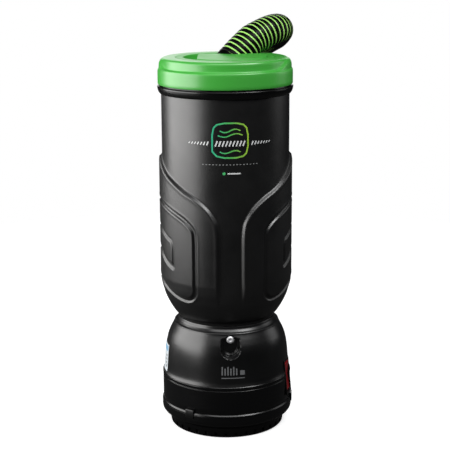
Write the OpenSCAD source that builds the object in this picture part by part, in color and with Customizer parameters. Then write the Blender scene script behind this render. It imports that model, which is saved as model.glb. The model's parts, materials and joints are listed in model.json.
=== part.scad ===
// Backpack vacuum cleaner: a slim moulded canister over a motor housing, a
// twist-off lid with a swivelling suction hose, and a compact harness.
// Frame: millimetres, +Z up, front is -Y, origin at the centre of the foot face.

/* [Canister] */
// Largest outer radius of the canister, over the raised side wings
wing_r = 100.3; // [99.5:0.1:100.4]
// Outer radius of the plain shell between the wings
shell_r = 95.7; // [95:0.1:96]
// Wall of the canister shell
shell_wall = 3; // [2.5:0.1:3.5]
// Half width of the front and back channel between the wings
channel_w = 18.9; // [14:0.1:22]
// Outer radius of the black rim ring under the lid
rim_r = 101.2; // [100.6:0.1:101.4]

/* [Lid] */
// Outer radius of the lid skirt
lid_r = 100.5; // [99.5:0.1:100.8]
// Outer radius of the upper part of the lid
lid_top_r = 98.6; // [97.5:0.1:99]
// Depth of the grip scoops in the lid
scoop = 4; // [2:0.5:5]
// Radius of the rotating hose turret in the lid
turret_r = 73.5; // [72:0.5:74.5]

/* [Motor housing] */
// Outer radius of the band under the motor dome
band_r = 99; // [98.2:0.1:99.6]
// Outer radius of the bumper ring
bumper_r = 100.7; // [99.5:0.1:101]
// Radius of the foot
foot_r = 87; // [84:0.5:88]
// Number of exhaust louvres in the foot
louvres = 36; // [24:2:40]

/* [Motor] */
// Motor shaft radius
shaft_r = 4; // [3:0.5:5]
// Fan impeller radius
fan_r = 60; // [54:1:63]
// Number of impeller blades
blades = 9; // [7:1:12]

/* [Hose] */
// Outer diameter of the suction hose
hose_d = 48; // [46:0.5:48]
// Wall of the suction hose
hose_wall = 1.6; // [1.2:0.1:2]
// Radius of the wand socket in the end cuff
wand_r = 19.1; // [18.5:0.1:19.3]

/* [Harness] */
// Half width of the back frame
frame_w = 78; // [70:1:80]
// Width of a shoulder strap
strap_w = 44; // [40:1:48]

/* [Hidden] */
$fn = 96;
e = 0.01;
top_z = 519;          // canister mouth
lid_z = 566.5;        // top plane of the lid
rocker_a = 70;        // switch position, degrees from the front towards +X
hose_r = hose_d / 2;
bowl_r = turret_r - 11.5; // inside of the open bowl in the turret
deck_z = 535.3;        // floor of the lid under the turret
turret_turn = -4;     // the turret rests turned by this much

// ---- helpers -------------------------------------------------------------
module rev(p) { rotate_extrude($fn = 96) polygon(p); }
module tube(ro, ri, z0, z1) {
  translate([0, 0, z0]) difference() {
    cylinder(r = ro, h = z1 - z0);
    translate([0, 0, -1]) cylinder(r = ri, h = z1 - z0 + 2);
  }
}
// places children at angle a from the front (-Y) towards +X, their -Y facing out
module around(a) { rotate([0, 0, a]) children(); }
// pie sector between two such angles (under 180 apart)
module sector(a0, a1, r, z0, z1) {
  translate([0, 0, z0]) linear_extrude(z1 - z0)
    polygon([[0, 0], for (k = [0:6]) let (a = a0 + (a1 - a0) * k / 6) [r * sin(a), -r * cos(a)]]);
}
function offset_in(p, w) = [for (q = p) [q[0] - w, q[1]]];
function rev_list(p) = [for (i = [len(p) - 1:-1:0]) p[i]];
function unit(v) = v / norm(v);
// smooth curve through hand-chosen points
function cr(p0, p1, p2, p3, t) =
  0.5 * ((2 * p1) + (p2 - p0) * t + (2 * p0 - 5 * p1 + 4 * p2 - p3) * t * t + (3 * p1 - p0 - 3 * p2 + p3) * t * t * t);
function smooth(p, n) = [
  for (i = [0:len(p) - 2]) for (k = [0:n - 1])
    cr(i == 0 ? 2 * p[0] - p[1] : p[i - 1], p[i], p[i + 1],
       i == len(p) - 2 ? 2 * p[i + 1] - p[i] : p[i + 2], k / n),
  p[len(p) - 1]];
// outline of a ribbon of thickness t along a 2D centreline
function ribbon(p, t) = let (n = [for (i = [0:len(p) - 1])
    let (d = unit(p[min(i + 1, len(p) - 1)] - p[max(i - 1, 0)])) [-d[1], d[0]]])
  concat([for (i = [0:len(p) - 1]) p[i] + n[i] * t / 2], [for (i = [len(p) - 1:-1:0]) p[i] - n[i] * t / 2]);

// ---- foot and motor housing ----------------------------------------------
module filter_cap() color("#17181a") difference() {
  rev([[0, 0], [foot_r - 1, 0], [foot_r, 1], [foot_r, 9.6], [foot_r + 3.2, 11], [97.4, 19.4], [98.6, 22],
       [95.4, 22], [94, 20.6], [87.6, 13.6], [84, 12], [83.6, 3], [0, 3]]);
  for (i = [0:louvres - 1]) around(i * 360 / louvres + 5) translate([-2.2, -foot_r - 6, 3.6]) cube([4.4, 12, 5]);
  for (i = [0:2]) around(60 + 120 * i) translate([0, -74, -1]) { cylinder(r = 2.3, h = 6); cylinder(r = 4.6, h = 3); }
}
module base_screws() color("#8d9094")
  for (i = [0:2]) around(60 + 120 * i) translate([0, -74, 0]) difference() {
    union() {
      translate([0, 0, 0.4]) cylinder(r = 4.4, h = 1.5);
      translate([0, 0, 1.8]) cylinder(r = 2.2, h = 20.2);
    }
    translate([0, 0, -0.1]) cylinder(r = 1.5, h = 1.6, $fn = 6);
  }
module base_ring() color("#1b1c1e")
  rev([[93.5, 22], [98.6, 22], [100.1, 24], [bumper_r, 27], [bumper_r, 35], [100.1, 38], [98.4, 40], [93.5, 40]]);
module base_clips() color("#3a3c3f")
  for (a = [-38, 82, 202]) around(a) difference() {
    translate([-7, -101.9, 30.5]) cube([14, 6, 13.5]);
    translate([0, 0, 20]) cylinder(r = bumper_r + 0.05, h = 20.05, $fn = 360);
    translate([0, 0, 40]) cylinder(r = 98.55, h = 6, $fn = 360);
  }
module hepa_filter() color("#e9e6da") {
  translate([0, 0, 25]) linear_extrude(20) difference() {
    polygon([for (i = [0:119]) let (r = i % 2 == 0 ? 91 : 78) [r * cos(i * 3), r * sin(i * 3)]]);
    circle(r = 75);
  }
  tube(92.6, 74, 22.1, 25);
  tube(92.6, 74, 45, 48);
}
module motor_base() color("#1b1c1e") difference() {
  rev([[93.5, 40.05], [98.2, 40.05], [98.2, 45], [band_r, 49], [band_r, 81], [98.4, 84],
       [95.2, 84], [95.8, 80], [95.8, 50], [93.5, 47]]);
  around(rocker_a) translate([-12.6, -110, 50.5]) cube([25.2, 40, 54]);
  around(142) translate([0, -80, 62]) rotate([90, 0, 0]) cylinder(r = 8.3, h = 30);
  around(-142) translate([0, -80, 62]) rotate([90, 0, 0]) cylinder(r = 5.1, h = 30);
}
dome_out = [[98.5, 84.05], [97.8, 86], [95.4, 94], [93.3, 102], [92.6, 110], [92.2, 118], [92, 127], [91.5, 135],
            [89.2, 143], [85.6, 151], [81.5, 159], [79.6, 163], [76.4, 167], [73.5, 171.4]];
module shield(g, y0, y1) // shield outline of half width 15 + g, extruded along Y
  translate([0, y1, 0]) rotate([90, 0, 0]) linear_extrude(y1 - y0)
    polygon([[-15 - g, 160 + g], [15 + g, 160 + g],
      for (k = [0:8]) let (a = -k * 22.5) [(15 + g) * cos(a), 141 + (15 + g) * sin(a)]]);
module motor_dome() color("#1c1d1f") difference() {
  union() {
    rev(concat(dome_out, [[60, 171.4], [60, 168.4], [71, 168.4]], rev_list([for (q = dome_out) if (q[1] < 168) [q[0] - 3.2, q[1]]])));
    intersection() { // boss behind the front pocket
      shield(3, -100, -72);
      rev(concat([[60, 84]], dome_out, [[60, 171.4]]));
    }
  }
  shield(0, -110, -82.2);
  shield(-4, -110, -78.6);
  translate([0, -78.6, 153]) rotate([90, 0, 0]) cylinder(r = 6.4, h = 20);
  translate([0, -70, 153]) rotate([90, 0, 0]) cylinder(r = 2.3, h = 20);
  around(rocker_a) translate([-12.6, -110, 50.5]) cube([25.2, 40, 54]);
}
module dome_screw() color("#d8dadd") difference() {
  union() {
    translate([0, -78.65, 153]) rotate([90, 0, 0]) cylinder(r = 5.6, h = 1.5);
    translate([0, -80.1, 153]) rotate([90, 0, 0]) cylinder(r1 = 5.6, r2 = 3.6, h = 1.4, $fn = 64);
    translate([0, -71, 153]) rotate([90, 0, 0]) cylinder(r = 2.25, h = 8);
  }
  translate([0, -80.4, 153]) rotate([90, 0, 0]) cylinder(r = 2.4, h = 3);
}
module motor_mount_lower() color("#33322f") difference() {
  union() { tube(46.5, 14, 56, 60); tube(50, 46.5, 56, 75); tube(95.8, 50, 72.2, 75); }
  around(rocker_a) translate([-13.5, -110, 70]) cube([27, 30, 8]);
}
module motor_mount_upper() color("#33322f") difference() {
  union() { rev([[50, 150.1], [82.4, 150.1], [79, 157], [50, 157]]); tube(72.9, 68.7, 142, 150.2); }
  translate([-19.5, -100, 140]) cube([39, 29.5, 30]);
}
module motor_bracket_lower() color("#9a9da1") {
  tube(44, 7.1, 60.1, 63);
  for (i = [0:2]) around(120 * i) translate([-5, -44, 62.9]) cube([10, 3.5, 40.5]);
}
module motor_bracket_upper() color("#9a9da1") tube(48, 7.1, 103.4, 107);
module motor_bearings() color("#c9ccd0") for (z = [58, 104]) tube(7, shaft_r + 0.05, z, z + 5);
module stator() color("#6c4a2c") difference() {
  tube(40, 24, 72.5, 100);
  for (i = [0:1]) around(90 + 180 * i) translate([-9, -30, 71]) cube([18, 10, 31]);
}
module carbon_brushes() color("#4a4a4c") for (s = [-1, 1]) rotate([0, 0, s * 90])
  translate([-3.5, -30, 64.6]) { cube([7, 16.6, 6]); translate([-2, -8, -1]) cube([11, 9, 8]); }
module fan_housing() color("#a8abaf") difference() {
  rev([[0, 110], [68.6, 110], [68.6, 150], [24, 150], [24, 148.2], [66.8, 148.2], [66.8, 111.8], [0, 111.8]]);
  translate([0, 0, 109]) cylinder(r = 9, h = 4);
  for (i = [0:7]) around(45 * i) translate([0, -38, 109]) cylinder(r = 7, h = 4);
}
module diffuser() color("#b4b7bb") difference() {
  tube(66.7, 9, 113, 115);
  for (i = [0:11]) around(30 * i) translate([-2, -64, 112]) cube([4, 22, 4]);
}
module motor_shaft() color("#c3c6ca") { translate([0, 0, 57]) cylinder(r = shaft_r, h = 84); }
module armature() color("#8a5a33") difference() {
  tube(23.2, shaft_r - e, 72, 101);
  for (i = [0:11]) around(30 * i) translate([-1.6, -24, 71]) cube([3.2, 5, 31]);
}
module commutator() color("#b87a3d") tube(13, shaft_r - e, 63.6, 71.4);
module fan_impeller() color("#b9bcc0") {
  tube(fan_r, shaft_r - e, 118, 119.6);
  tube(11, shaft_r - e, 119.6, 138);
  tube(fan_r, 26, 134, 135.4);
  for (i = [0:blades - 1]) rotate([0, 0, 360 / blades * i]) translate([10.6, 0, 119.5]) rotate([0, 0, 28]) translate([0, -0.8, 0]) cube([44, 1.6, 14.6]);
}

// ---- switch, breaker, label, inlet ------------------------------------------
module switch_bezel() color("#0f1011") around(rocker_a) difference() {
  union() {
    translate([-13.6, -101, 49.5]) cube([27.2, 1.9, 56]);
    translate([-12.4, -99.2, 50.7]) cube([24.8, 16.9, 53.6]);
  }
  difference() {
    translate([-10.6, -104, 53.4]) cube([21.2, 20, 48.4]);
    translate([-11, -93, 77.6]) rotate([0, 90, 0]) cylinder(r = 1.45, h = 22);
  }
}
module power_rocker() color("#b3202a") around(rocker_a) difference() {
  union() {
    translate([-10.2, 0, 0]) rotate([90, 0, 90]) linear_extrude(20.4)
      polygon([[-92.5, 55.6], [-99.2, 54.6], [-97.6, 77.6], [-101.6, 100.4], [-92.5, 99.4]]);
    translate([-10.2, -93, 77.6]) rotate([0, 90, 0]) cylinder(r = 4, h = 20.4);
  }
  translate([-11, -93, 77.6]) rotate([0, 90, 0]) cylinder(r = 1.5, h = 22.4);
}
module breaker_body() color("#101112") around(142) {
  difference() {
    union() {
      translate([0, -99.05, 62]) rotate([90, 0, 0]) cylinder(r = 11, h = 1.95, $fn = 64);
      translate([0, -80, 62]) rotate([90, 0, 0]) cylinder(r = 8.2, h = 20);
    }
    translate([0, -84, 62]) rotate([90, 0, 0]) cylinder(r = 4.1, h = 20);
  }
}
module breaker_button() color("#c42a22") around(142) translate([0, -88, 62]) rotate([90, 0, 0]) cylinder(r = 4.04, h = 16.5);
module rating_label() color("#dfe9ee") difference() {
  intersection() {
    rev([[94.9, 96], [93.5, 102], [92.8, 110], [92.4, 118], [92.2, 127], [91.9, 132],
         [92.3, 132], [92.6, 127], [92.8, 118], [93.2, 110], [93.9, 102], [95.3, 96]]);
    sector(-112, -70, 130, 96, 132);
  }
}
module power_inlet() color("#141516") around(-142) difference() {
  union() {
    translate([0, -99.05, 62]) rotate([90, 0, 0]) cylinder(r = 10.5, h = 2.9, $fn = 64);
    translate([0, -82, 62]) rotate([90, 0, 0]) cylinder(r = 5, h = 18);
  }
  translate([0, -76, 62]) rotate([90, 0, 0]) cylinder(r = 3.6, h = 40);
}
module internal_wiring() color("#8c2f2a") {
  translate([0, 0, 78]) difference() { // harness loop under the motor housing
    cylinder(r = 71.5, h = 2.4);
    translate([0, 0, -1]) cylinder(r = 69, h = 5);
    translate([-80, 0, -1]) cube([160, 80, 5]);
  }
  around(-142) translate([-1.2, -81, 77]) cube([2.4, 10, 3.4]);
}

// ---- canister --------------------------------------------------------------
shell_out = [[73.6, 175], [77.6, 179], [80.6, 183], [85.8, 191.4], [90.1, 199.6], [92.6, 206], [94.2, 212],
             [95.2, 220], [shell_r, 230], [shell_r, 515]];
wing_out = [[80, 184], [85.9, 191.4], [90.2, 199.6], [93.7, 207.7], [96, 215.7], [98.2, 223.5], [99.4, 231],
            [wing_r, 240], [wing_r, 410], [99.8, 419], [97.6, 426], [95.6, 433]];
module channel() // keeps the shell plain between and above the wings
  translate([0, 150, 0]) rotate([90, 0, 0]) linear_extrude(300)
    polygon([[channel_w, 150], [channel_w, 315], [22.3, 332], [27.3, 343], [34.7, 355], [43.4, 363], [53.2, 370],
      [63.6, 377], [73.6, 385], [83, 392], [90.4, 399], [95.6, 407], [98.5, 416], [99.6, 424], [110, 426], [110, 450],
      [-110, 450], [-110, 426], [-99.6, 424], [-98.5, 416], [-95.6, 407], [-90.4, 399], [-83, 392], [-73.6, 385],
      [-63.6, 377], [-53.2, 370], [-43.4, 363], [-34.7, 355], [-27.3, 343], [-22.3, 332], [-channel_w, 315], [-channel_w, 150]]);
module canister() color("#1d1e20") difference() {
  union() {
    rev(concat([[60, 172.2], [70, 172.2]], shell_out, [[shell_r, top_z], [shell_r - shell_wall, top_z],
        [shell_r - shell_wall, 504], [89, 500], [shell_r - shell_wall, 496],
        [shell_r - shell_wall, 230], [91.2, 212], [87, 200], [80, 190], [73, 182], [60, 180]]));
    tube(62, 30, 176, 180.4);
    difference() {
      rev(concat([[76, 186]], wing_out, [[94, 433], [94, 225], [88, 203]]));
      channel();
    }
  }
  for (z = [236, 420]) translate([0, 80, z]) rotate([-90, 0, 0]) cylinder(r = 3.3, h = 30);
}
module tank_gasket() color("#3a3b3d") tube(59.8, 52, 168.5, 176);
module filter_grid() color("#2c2d30") difference() {
  translate([0, 0, 180.5]) cylinder(r = 34, h = 3);
  for (i = [0:7]) around(45 * i) translate([0, -20, 180]) cylinder(r = 6, h = 5);
  translate([0, 0, 180]) cylinder(r = 6, h = 5);
}
module dome_filter() color("#d9d4c4")
  rev([[24, 183.6], [50, 183.6], [50, 212], [47, 222], [40, 228], [28, 231], [0, 232], [0, 228], [27, 227], [38, 224.4],
       [43.6, 219.4], [46, 211], [46, 187], [24, 187]]);
module cloth_filter() color("#cfd2d4")
  rev([[0, 234.2], [80, 234.2], [85, 237], [87, 244], [87, 500], [88.6, 500], [88.6, 504.1], [92.5, 504.1], [92.5, 507.6], [50, 507.6], [50, 504.6], [84.6, 504.6], [85.6, 500], [85.6, 244.4], [84, 238.4], [79.6, 235.6], [0, 235.6]]);
module filter_bag() color("#e2ddcf")
  rev([[25.6, 500], [52, 500], [66, 494], [71, 480], [72, 440], [71, 330], [69, 270], [60, 248], [40, 240], [0, 239],
       [0, 240.4], [40, 241.4], [59.2, 249.2], [67.8, 270.4], [69.8, 330], [70.8, 440], [69.8, 479.6], [65.2, 493], [51.8, 498.8], [25.6, 498.8]]);
module bag_collar() color("#b99b6b") { tube(49.9, 25.6, 504.7, 507.6); tube(40, 25.6, 500, 504.8); }
module rim_ring() color("#121314") difference() {
  rev([[shell_r, 513.6], [97.6, 514.2], [99.8, 517], [100.6, 520], [rim_r, 523], [rim_r, 525.6], [100.6, 527.4],
       [92.7, 527.4], [92.7, 522], [88, 522], [88, 519], [shell_r, 519]]);
  for (i = [0:2]) sector(-13 + 120 * i + 20, 13 + 120 * i + 20, 92.6, 517, 523);
}

// ---- lid, seal plate, turret --------------------------------------------------
module seal_plate() color("#26272a")
  rev([[27, 519.6], [82.6, 519.6], [82.6, 522.8], [30, 522.8], [30, 526.9], [27, 526.9]]);
module intake_nozzle() color("#303236") { // carries the air into the bag
  tube(25, 22, 502, 519.7);
  tube(26.98, 22, 519.6, 522.8);
}
module bag_seal() color("#57585a") tube(40, 25, 508, 519.55);
module lid() color("#3fbf3a") difference() {
  rev([[lid_r - 0.5, 527.8], [lid_r, 528.6], [lid_r, 545.5], [lid_top_r + 0.5, 549.5], [lid_top_r, 551], [lid_top_r, 560.5], [97.6, 563.6],
       [95.4, 565.8], [92.5, lid_z], [turret_r + 1.3, lid_z], [turret_r + 0.5, lid_z - 0.8], [turret_r + 0.5, 563.2], [91.5, 563.2], [92, 549], [97.5, 545], [97.5, 527.8]]);
  for (a = [0, 180]) intersection() { // finger grips, front and back
    tube(120, lid_top_r - scoop, 552, 580);
    sector(a - 55, a + 55, 170, 551, 581);
  }
}
module lid_deck() color("#3fbf3a") // bearing deck under the turret
  rev([[turret_r + 3.5, 563.2], [turret_r + 0.5, 563.2], [turret_r + 0.5, deck_z], [25.56, deck_z], [25.56, deck_z - 4], [turret_r + 3.5, deck_z - 4]]);
module lid_lock_ring() color("#3fbf3a") union() {
  rev([[84, 563.2], [84, 518.4], [80.6, 518.4], [80.6, 515], [84, 511], [87, 511], [87, 563.2]]);
  for (i = [0:2]) intersection() { // bayonet lugs
    tube(91.4, 86, 512.4, 516.6);
    sector(-10 + 120 * i + 20, 10 + 120 * i + 20, 120, 510, 520);
  }
}
module lid_gasket() color("#2f3032") tube(97.5, 93.4, 527.7, 531);
module visor(g, z0, dz) // raised cover over the air duct, straight at its back and left
  intersection() {
    translate([0, 0, z0]) cylinder(r = bowl_r - 0.1 - g, h = 30);
    rotate([0, 0, turret_turn]) translate([-41 + g, 0, 0]) rotate([90, 0, 90]) linear_extrude(130)
      polygon([[-80, z0], [17 - g, z0], [17 - g, 569.6 - dz], [-62, lid_z + 0.3 - dz], [-80, lid_z + 0.3 - dz]]);
  }
module at_root() translate(route[0]) let (d = unit(route[1] - route[0])) rotate([0, acos(d[2]), atan2(d[1], d[0])]) rotate([0, 0, 130]) children();
module swivel_turret() color("#3fbf3a") difference() {
  rev([[25.5, deck_z + 0.5], [turret_r, deck_z + 0.5], [turret_r, lid_z - 0.6], [turret_r - 0.6, lid_z], [bowl_r + 0.8, lid_z],
       [bowl_r, lid_z - 0.8], [bowl_r, lid_z - 3], [turret_r - 3, lid_z - 3], [turret_r - 3, deck_z + 2.9], [25.5, deck_z + 2.9]]);
  at_root() translate([0, 0, 8]) cylinder(r = hose_r, h = 80);
}
module turret_stem() color("#3fbf3a")
  rev([[21, 523], [25.5, 523], [25.5, 523.6], [24.2, 524], [24.2, 526.1], [25.5, 526.5], [25.5, deck_z + 2.9], [21, deck_z + 2.9]]);
module turret_bowl() color("#3fbf3a") difference() {
  union() {
    translate([0, 0, 550.4]) cylinder(r = turret_r - 3, h = 2.8);
    intersection() { // socket of the hose, through the bowl's floor
      at_root() translate([0, 0, -12]) cylinder(r = hose_r + 2.6, h = 60);
      translate([0, 0, 551.5]) cylinder(r = turret_r - 3.6, h = lid_z - 554.7);
    }
  }
  at_root() translate([0, 0, -20]) cylinder(r = hose_r, h = 100);
}
module turret_visor() color("#3fbf3a") difference() {
  visor(0, 553.2, 0);
  visor(4.5, 552, 3.2);
  at_root() translate([0, 0, -20]) cylinder(r = hose_r + 2.6, h = 100);
}
module turret_retainer() color("#2b2c2e") tube(33, 25.52, deck_z - 8.1, deck_z - 4.5);
module turret_seal() color("#454648") tube(26.7, 24.22, 524.1, 526);

// ---- hose -------------------------------------------------------------------
route = [[9, 27, 554], [20, 31, 566], [32, 36, 577], [44, 43, 587], [57, 51, 593], [70, 60, 598],
  [81, 72, 600], [88, 88, 599], [89, 106, 595], [87, 125, 589], [81, 143, 583], [72, 162, 575], [60, 179, 565],
  [44, 193, 552], [28, 203, 532], [15, 210, 508], [6, 214, 480], [1, 218, 450], [0, 221, 410], [0, 224, 360],
  [0, 226, 310], [0, 227, 260], [0, 228, 210], [0, 230, 170], [1, 236, 135], [1, 247, 101], [2, 265, 71],
  [3, 290, 47], [5, 320, 31], [8, 355, 24], [14, 410, 24], [20, 465, 24], [24, 525, 24], [24, 590, 24],
  [24, 650, 24], [24, 710, 24]];
module pipe(path, ro, ri, sides) {
  n = len(path);
  t = [for (i = [0:n - 1]) unit(path[min(i + 1, n - 1)] - path[max(i - 1, 0)])];
  ref = [0.8, 0.1, -0.6];
  u = [for (i = [0:n - 1]) unit(ref - (ref * t[i]) * t[i])];
  v = [for (i = [0:n - 1]) cross(t[i], u[i])];
  pts = concat(
    [for (i = [0:n - 1]) for (k = [0:sides - 1]) let (a = 360 * k / sides) path[i] + ro * (cos(a) * u[i] + sin(a) * v[i])],
    [for (i = [0:n - 1]) for (k = [0:sides - 1]) let (a = 360 * k / sides) path[i] + ri * (cos(a) * u[i] + sin(a) * v[i])]);
  m = n * sides;
  faces = concat(
    [for (i = [0:n - 2]) for (k = [0:sides - 1]) let (j = (k + 1) % sides)
      [i * sides + k, (i + 1) * sides + k, (i + 1) * sides + j, i * sides + j]],
    [for (i = [0:n - 2]) for (k = [0:sides - 1]) let (j = (k + 1) % sides)
      [m + i * sides + k, m + i * sides + j, m + (i + 1) * sides + j, m + (i + 1) * sides + k]],
    [for (k = [0:sides - 1]) let (j = (k + 1) % sides) [k, j, m + j, m + k]],
    [for (k = [0:sides - 1]) let (j = (k + 1) % sides, o = (n - 1) * sides) [o + k, m + o + k, m + o + j, o + j]]);
  polyhedron(points = pts, faces = faces, convexity = 8);
}
module hose() color("#16211a") pipe(smooth(route, 2), hose_r, hose_r - hose_wall, 12);
module hose_end_fitting() color("#17181a") translate([24, 710, 24]) rotate([-90, 0, 0]) {
  tube(23.8, 19.4, 0.2, 12);
  tube(21.5, 19.4, 11.9, 30);
}
module hose_end_cuff() color("#17181a") translate([24, 710, 24]) rotate([-90, 0, 0]) difference() {
  union() {
    tube(23.8, 21.56, 12.5, 32);
    tube(23.8, wand_r, 32, 78);
  }
  translate([0, 0, 60]) rotate([90, 0, 0]) cylinder(r = 4.2, h = 40);
}

// ---- harness ------------------------------------------------------------------
module back_frame() color("#202225") {
  difference() {
    union() {
      translate([-frame_w + 8, 104, 160]) cube([2 * frame_w - 16, 7, 352]);
      translate([-frame_w, 104, 168]) cube([2 * frame_w, 7, 336]);
      for (z = [236, 420]) translate([-15, 92, z - 16]) cube([30, 14, 32]);
    }
    translate([0, 0, 100]) cylinder(r = shell_r + 0.02, h = 420);
    translate([-34, 90, 280]) cube([68, 40, 90]);
    for (z = [236, 420]) translate([0, 80, z]) rotate([-90, 0, 0]) cylinder(r = 3.3, h = 60);
  }
}
module frame_bolts() color("#b8bbbf") for (z = [236, 420]) translate([0, 0, z]) rotate([-90, 0, 0]) {
  translate([0, 0, 92.8]) cylinder(r = 3.25, h = 18.4);
  difference() {
    translate([0, 0, 111.1]) cylinder(r = 6.5, h = 4);
    translate([0, 0, 112.6]) cylinder(r = 2.8, h = 4, $fn = 6);
  }
}
module pad(w, h, d, y, z, r) translate([0, y + d, z]) rotate([90, 0, 0]) linear_extrude(d)
  polygon([for (q = [[1, 1, 0], [-1, 1, 90], [-1, -1, 180], [1, -1, 270]]) for (k = [0:4])
    [q[0] * (w - r) + r * cos(q[2] + k * 22.5), q[1] * (h - r) + r * sin(q[2] + k * 22.5)]]);
module back_pad() color("#2b2d30") difference() {
  pad(70, 46, 23.8, 111.2, 424, 20);
  translate([0, 110, 420]) rotate([-90, 0, 0]) cylinder(r = 8, h = 6);
}
module lumbar_pad() color("#2b2d30") difference() {
  pad(74, 36, 24.8, 111.2, 228, 20);
  translate([0, 110, 236]) rotate([-90, 0, 0]) cylinder(r = 8, h = 6);
}
strap_path = [[115, 473], [115, 488], [119, 502], [131, 511], [147, 510], [160, 496], [168, 470], [172, 430], [173, 380],
  [171, 330], [166, 290], [158, 258], [153, 236], [151, 214], [146, 197], [136, 186], [123, 180.5], [115.2, 174], [115, 163]];
module strap(x0) translate([x0, 0, 0]) rotate([90, 0, 90]) linear_extrude(strap_w) polygon(ribbon(smooth(strap_path, 3), 7));
module shoulder_strap_left() color("#26282b") strap(-48 - strap_w / 2);
module shoulder_strap_right() color("#26282b") strap(48 - strap_w / 2);
module strap_buckles() color("#0e0f10") for (s = [-1, 1]) translate([s * 48, 168.9, 312]) rotate([-7, 0, 0]) difference() {
  translate([-25.5, -7, -12]) cube([51, 14, 24]);
  translate([-22.6, -4.2, -13]) cube([45.2, 8.4, 26]);
}

filter_cap();
base_screws();
base_ring();
base_clips();
hepa_filter();
motor_base();
motor_dome();
dome_screw();
motor_mount_lower();
motor_mount_upper();
motor_bracket_lower();
motor_bracket_upper();
motor_bearings();
stator();
carbon_brushes();
fan_housing();
diffuser();
motor_shaft();
armature();
commutator();
fan_impeller();
canister();
tank_gasket();
dome_filter();
filter_grid();
cloth_filter();
filter_bag();
bag_collar();
rim_ring();
switch_bezel();
power_rocker();
breaker_body();
breaker_button();
rating_label();
power_inlet();
internal_wiring();
seal_plate();
intake_nozzle();
bag_seal();
lid();
lid_deck();
lid_lock_ring();
lid_gasket();
swivel_turret();
turret_stem();
turret_bowl();
turret_visor();
turret_retainer();
turret_seal();
hose();
hose_end_fitting();
hose_end_cuff();
back_frame();
frame_bolts();
back_pad();
lumbar_pad();
shoulder_strap_left();
shoulder_strap_right();
strap_buckles();
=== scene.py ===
import json
import math

import bpy
import numpy as np
from mathutils import Matrix, Vector


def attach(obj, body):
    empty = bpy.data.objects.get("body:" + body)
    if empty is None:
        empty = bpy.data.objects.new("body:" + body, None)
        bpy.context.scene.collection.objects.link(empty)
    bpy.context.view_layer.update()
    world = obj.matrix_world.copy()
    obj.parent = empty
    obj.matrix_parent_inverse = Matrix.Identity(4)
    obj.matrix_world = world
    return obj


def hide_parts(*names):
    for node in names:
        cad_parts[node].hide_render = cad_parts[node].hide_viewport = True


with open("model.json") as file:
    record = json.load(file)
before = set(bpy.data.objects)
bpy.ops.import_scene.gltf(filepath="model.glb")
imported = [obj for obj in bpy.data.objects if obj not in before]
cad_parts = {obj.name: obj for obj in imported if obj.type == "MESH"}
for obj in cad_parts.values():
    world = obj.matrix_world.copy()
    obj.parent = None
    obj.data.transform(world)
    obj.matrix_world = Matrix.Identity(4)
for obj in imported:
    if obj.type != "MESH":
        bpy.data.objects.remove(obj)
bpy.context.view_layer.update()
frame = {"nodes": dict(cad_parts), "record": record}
nodes = frame["nodes"]
scene = bpy.context.scene
scene.view_settings.view_transform = "Standard"
scene.view_settings.look = "None"

MM = 0.001
RAD = math.pi / 180


# ---------------------------------------------------------------- helpers
def replaces(ob, *names):
    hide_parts(*[n for n in names if n in nodes])


def link(ob):
    scene.collection.objects.link(ob)
    return ob


def mesh_np(name, verts, quads, mats=(), index=None, smooth=True, tris=None, sharp=None):
    """A mesh object from arrays of points in millimetres and of quads (and triangles)."""
    me = bpy.data.meshes.new(name)
    verts = np.asarray(verts, dtype=np.float64) * MM
    quads = np.asarray(quads, dtype=np.int32).reshape(-1, 4)
    tris = np.zeros((0, 3), np.int32) if tris is None else np.asarray(tris, np.int32).reshape(-1, 3)
    me.vertices.add(len(verts))
    me.vertices.foreach_set("co", verts.ravel())
    loops = np.concatenate([quads.ravel(), tris.ravel()])
    starts = np.concatenate([np.arange(len(quads)) * 4, len(quads) * 4 + np.arange(len(tris)) * 3])
    me.loops.add(len(loops))
    me.loops.foreach_set("vertex_index", loops)
    me.polygons.add(len(starts))
    me.polygons.foreach_set("loop_start", starts.astype(np.int32))
    me.polygons.foreach_set("use_smooth", np.full(len(starts), bool(smooth)))
    for m in mats:
        me.materials.append(m)
    if index is not None:
        me.polygons.foreach_set("material_index", np.asarray(index, np.int32))
    me.update(calc_edges=True)
    me.validate()
    if sharp is not None:
        me.set_sharp_from_angle(angle=sharp * RAD)
    return link(bpy.data.objects.new(name, me))


def torus_quads(nr, nc, close_rows=True, base=0):
    """Quads of a grid of nr rows by nc columns whose columns close."""
    r = nr if close_rows else nr - 1
    i = np.arange(r)[:, None]
    j = np.arange(nc)[None, :]
    i1 = (i + 1) % nr
    j1 = (j + 1) % nc
    return (np.stack([i * nc + j, i * nc + j1, i1 * nc + j1, i1 * nc + j], -1)).reshape(-1, 4) + base


def ring_points(r, z, phi):
    """r and z of shape (rows, cols) or (rows, 1), phi in radians: points of a body of revolution, phi from -Y toward +X."""
    r, z, phi = np.broadcast_arrays(r, z, phi)
    return np.stack([r * np.sin(phi), -r * np.cos(phi), z], -1)


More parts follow.
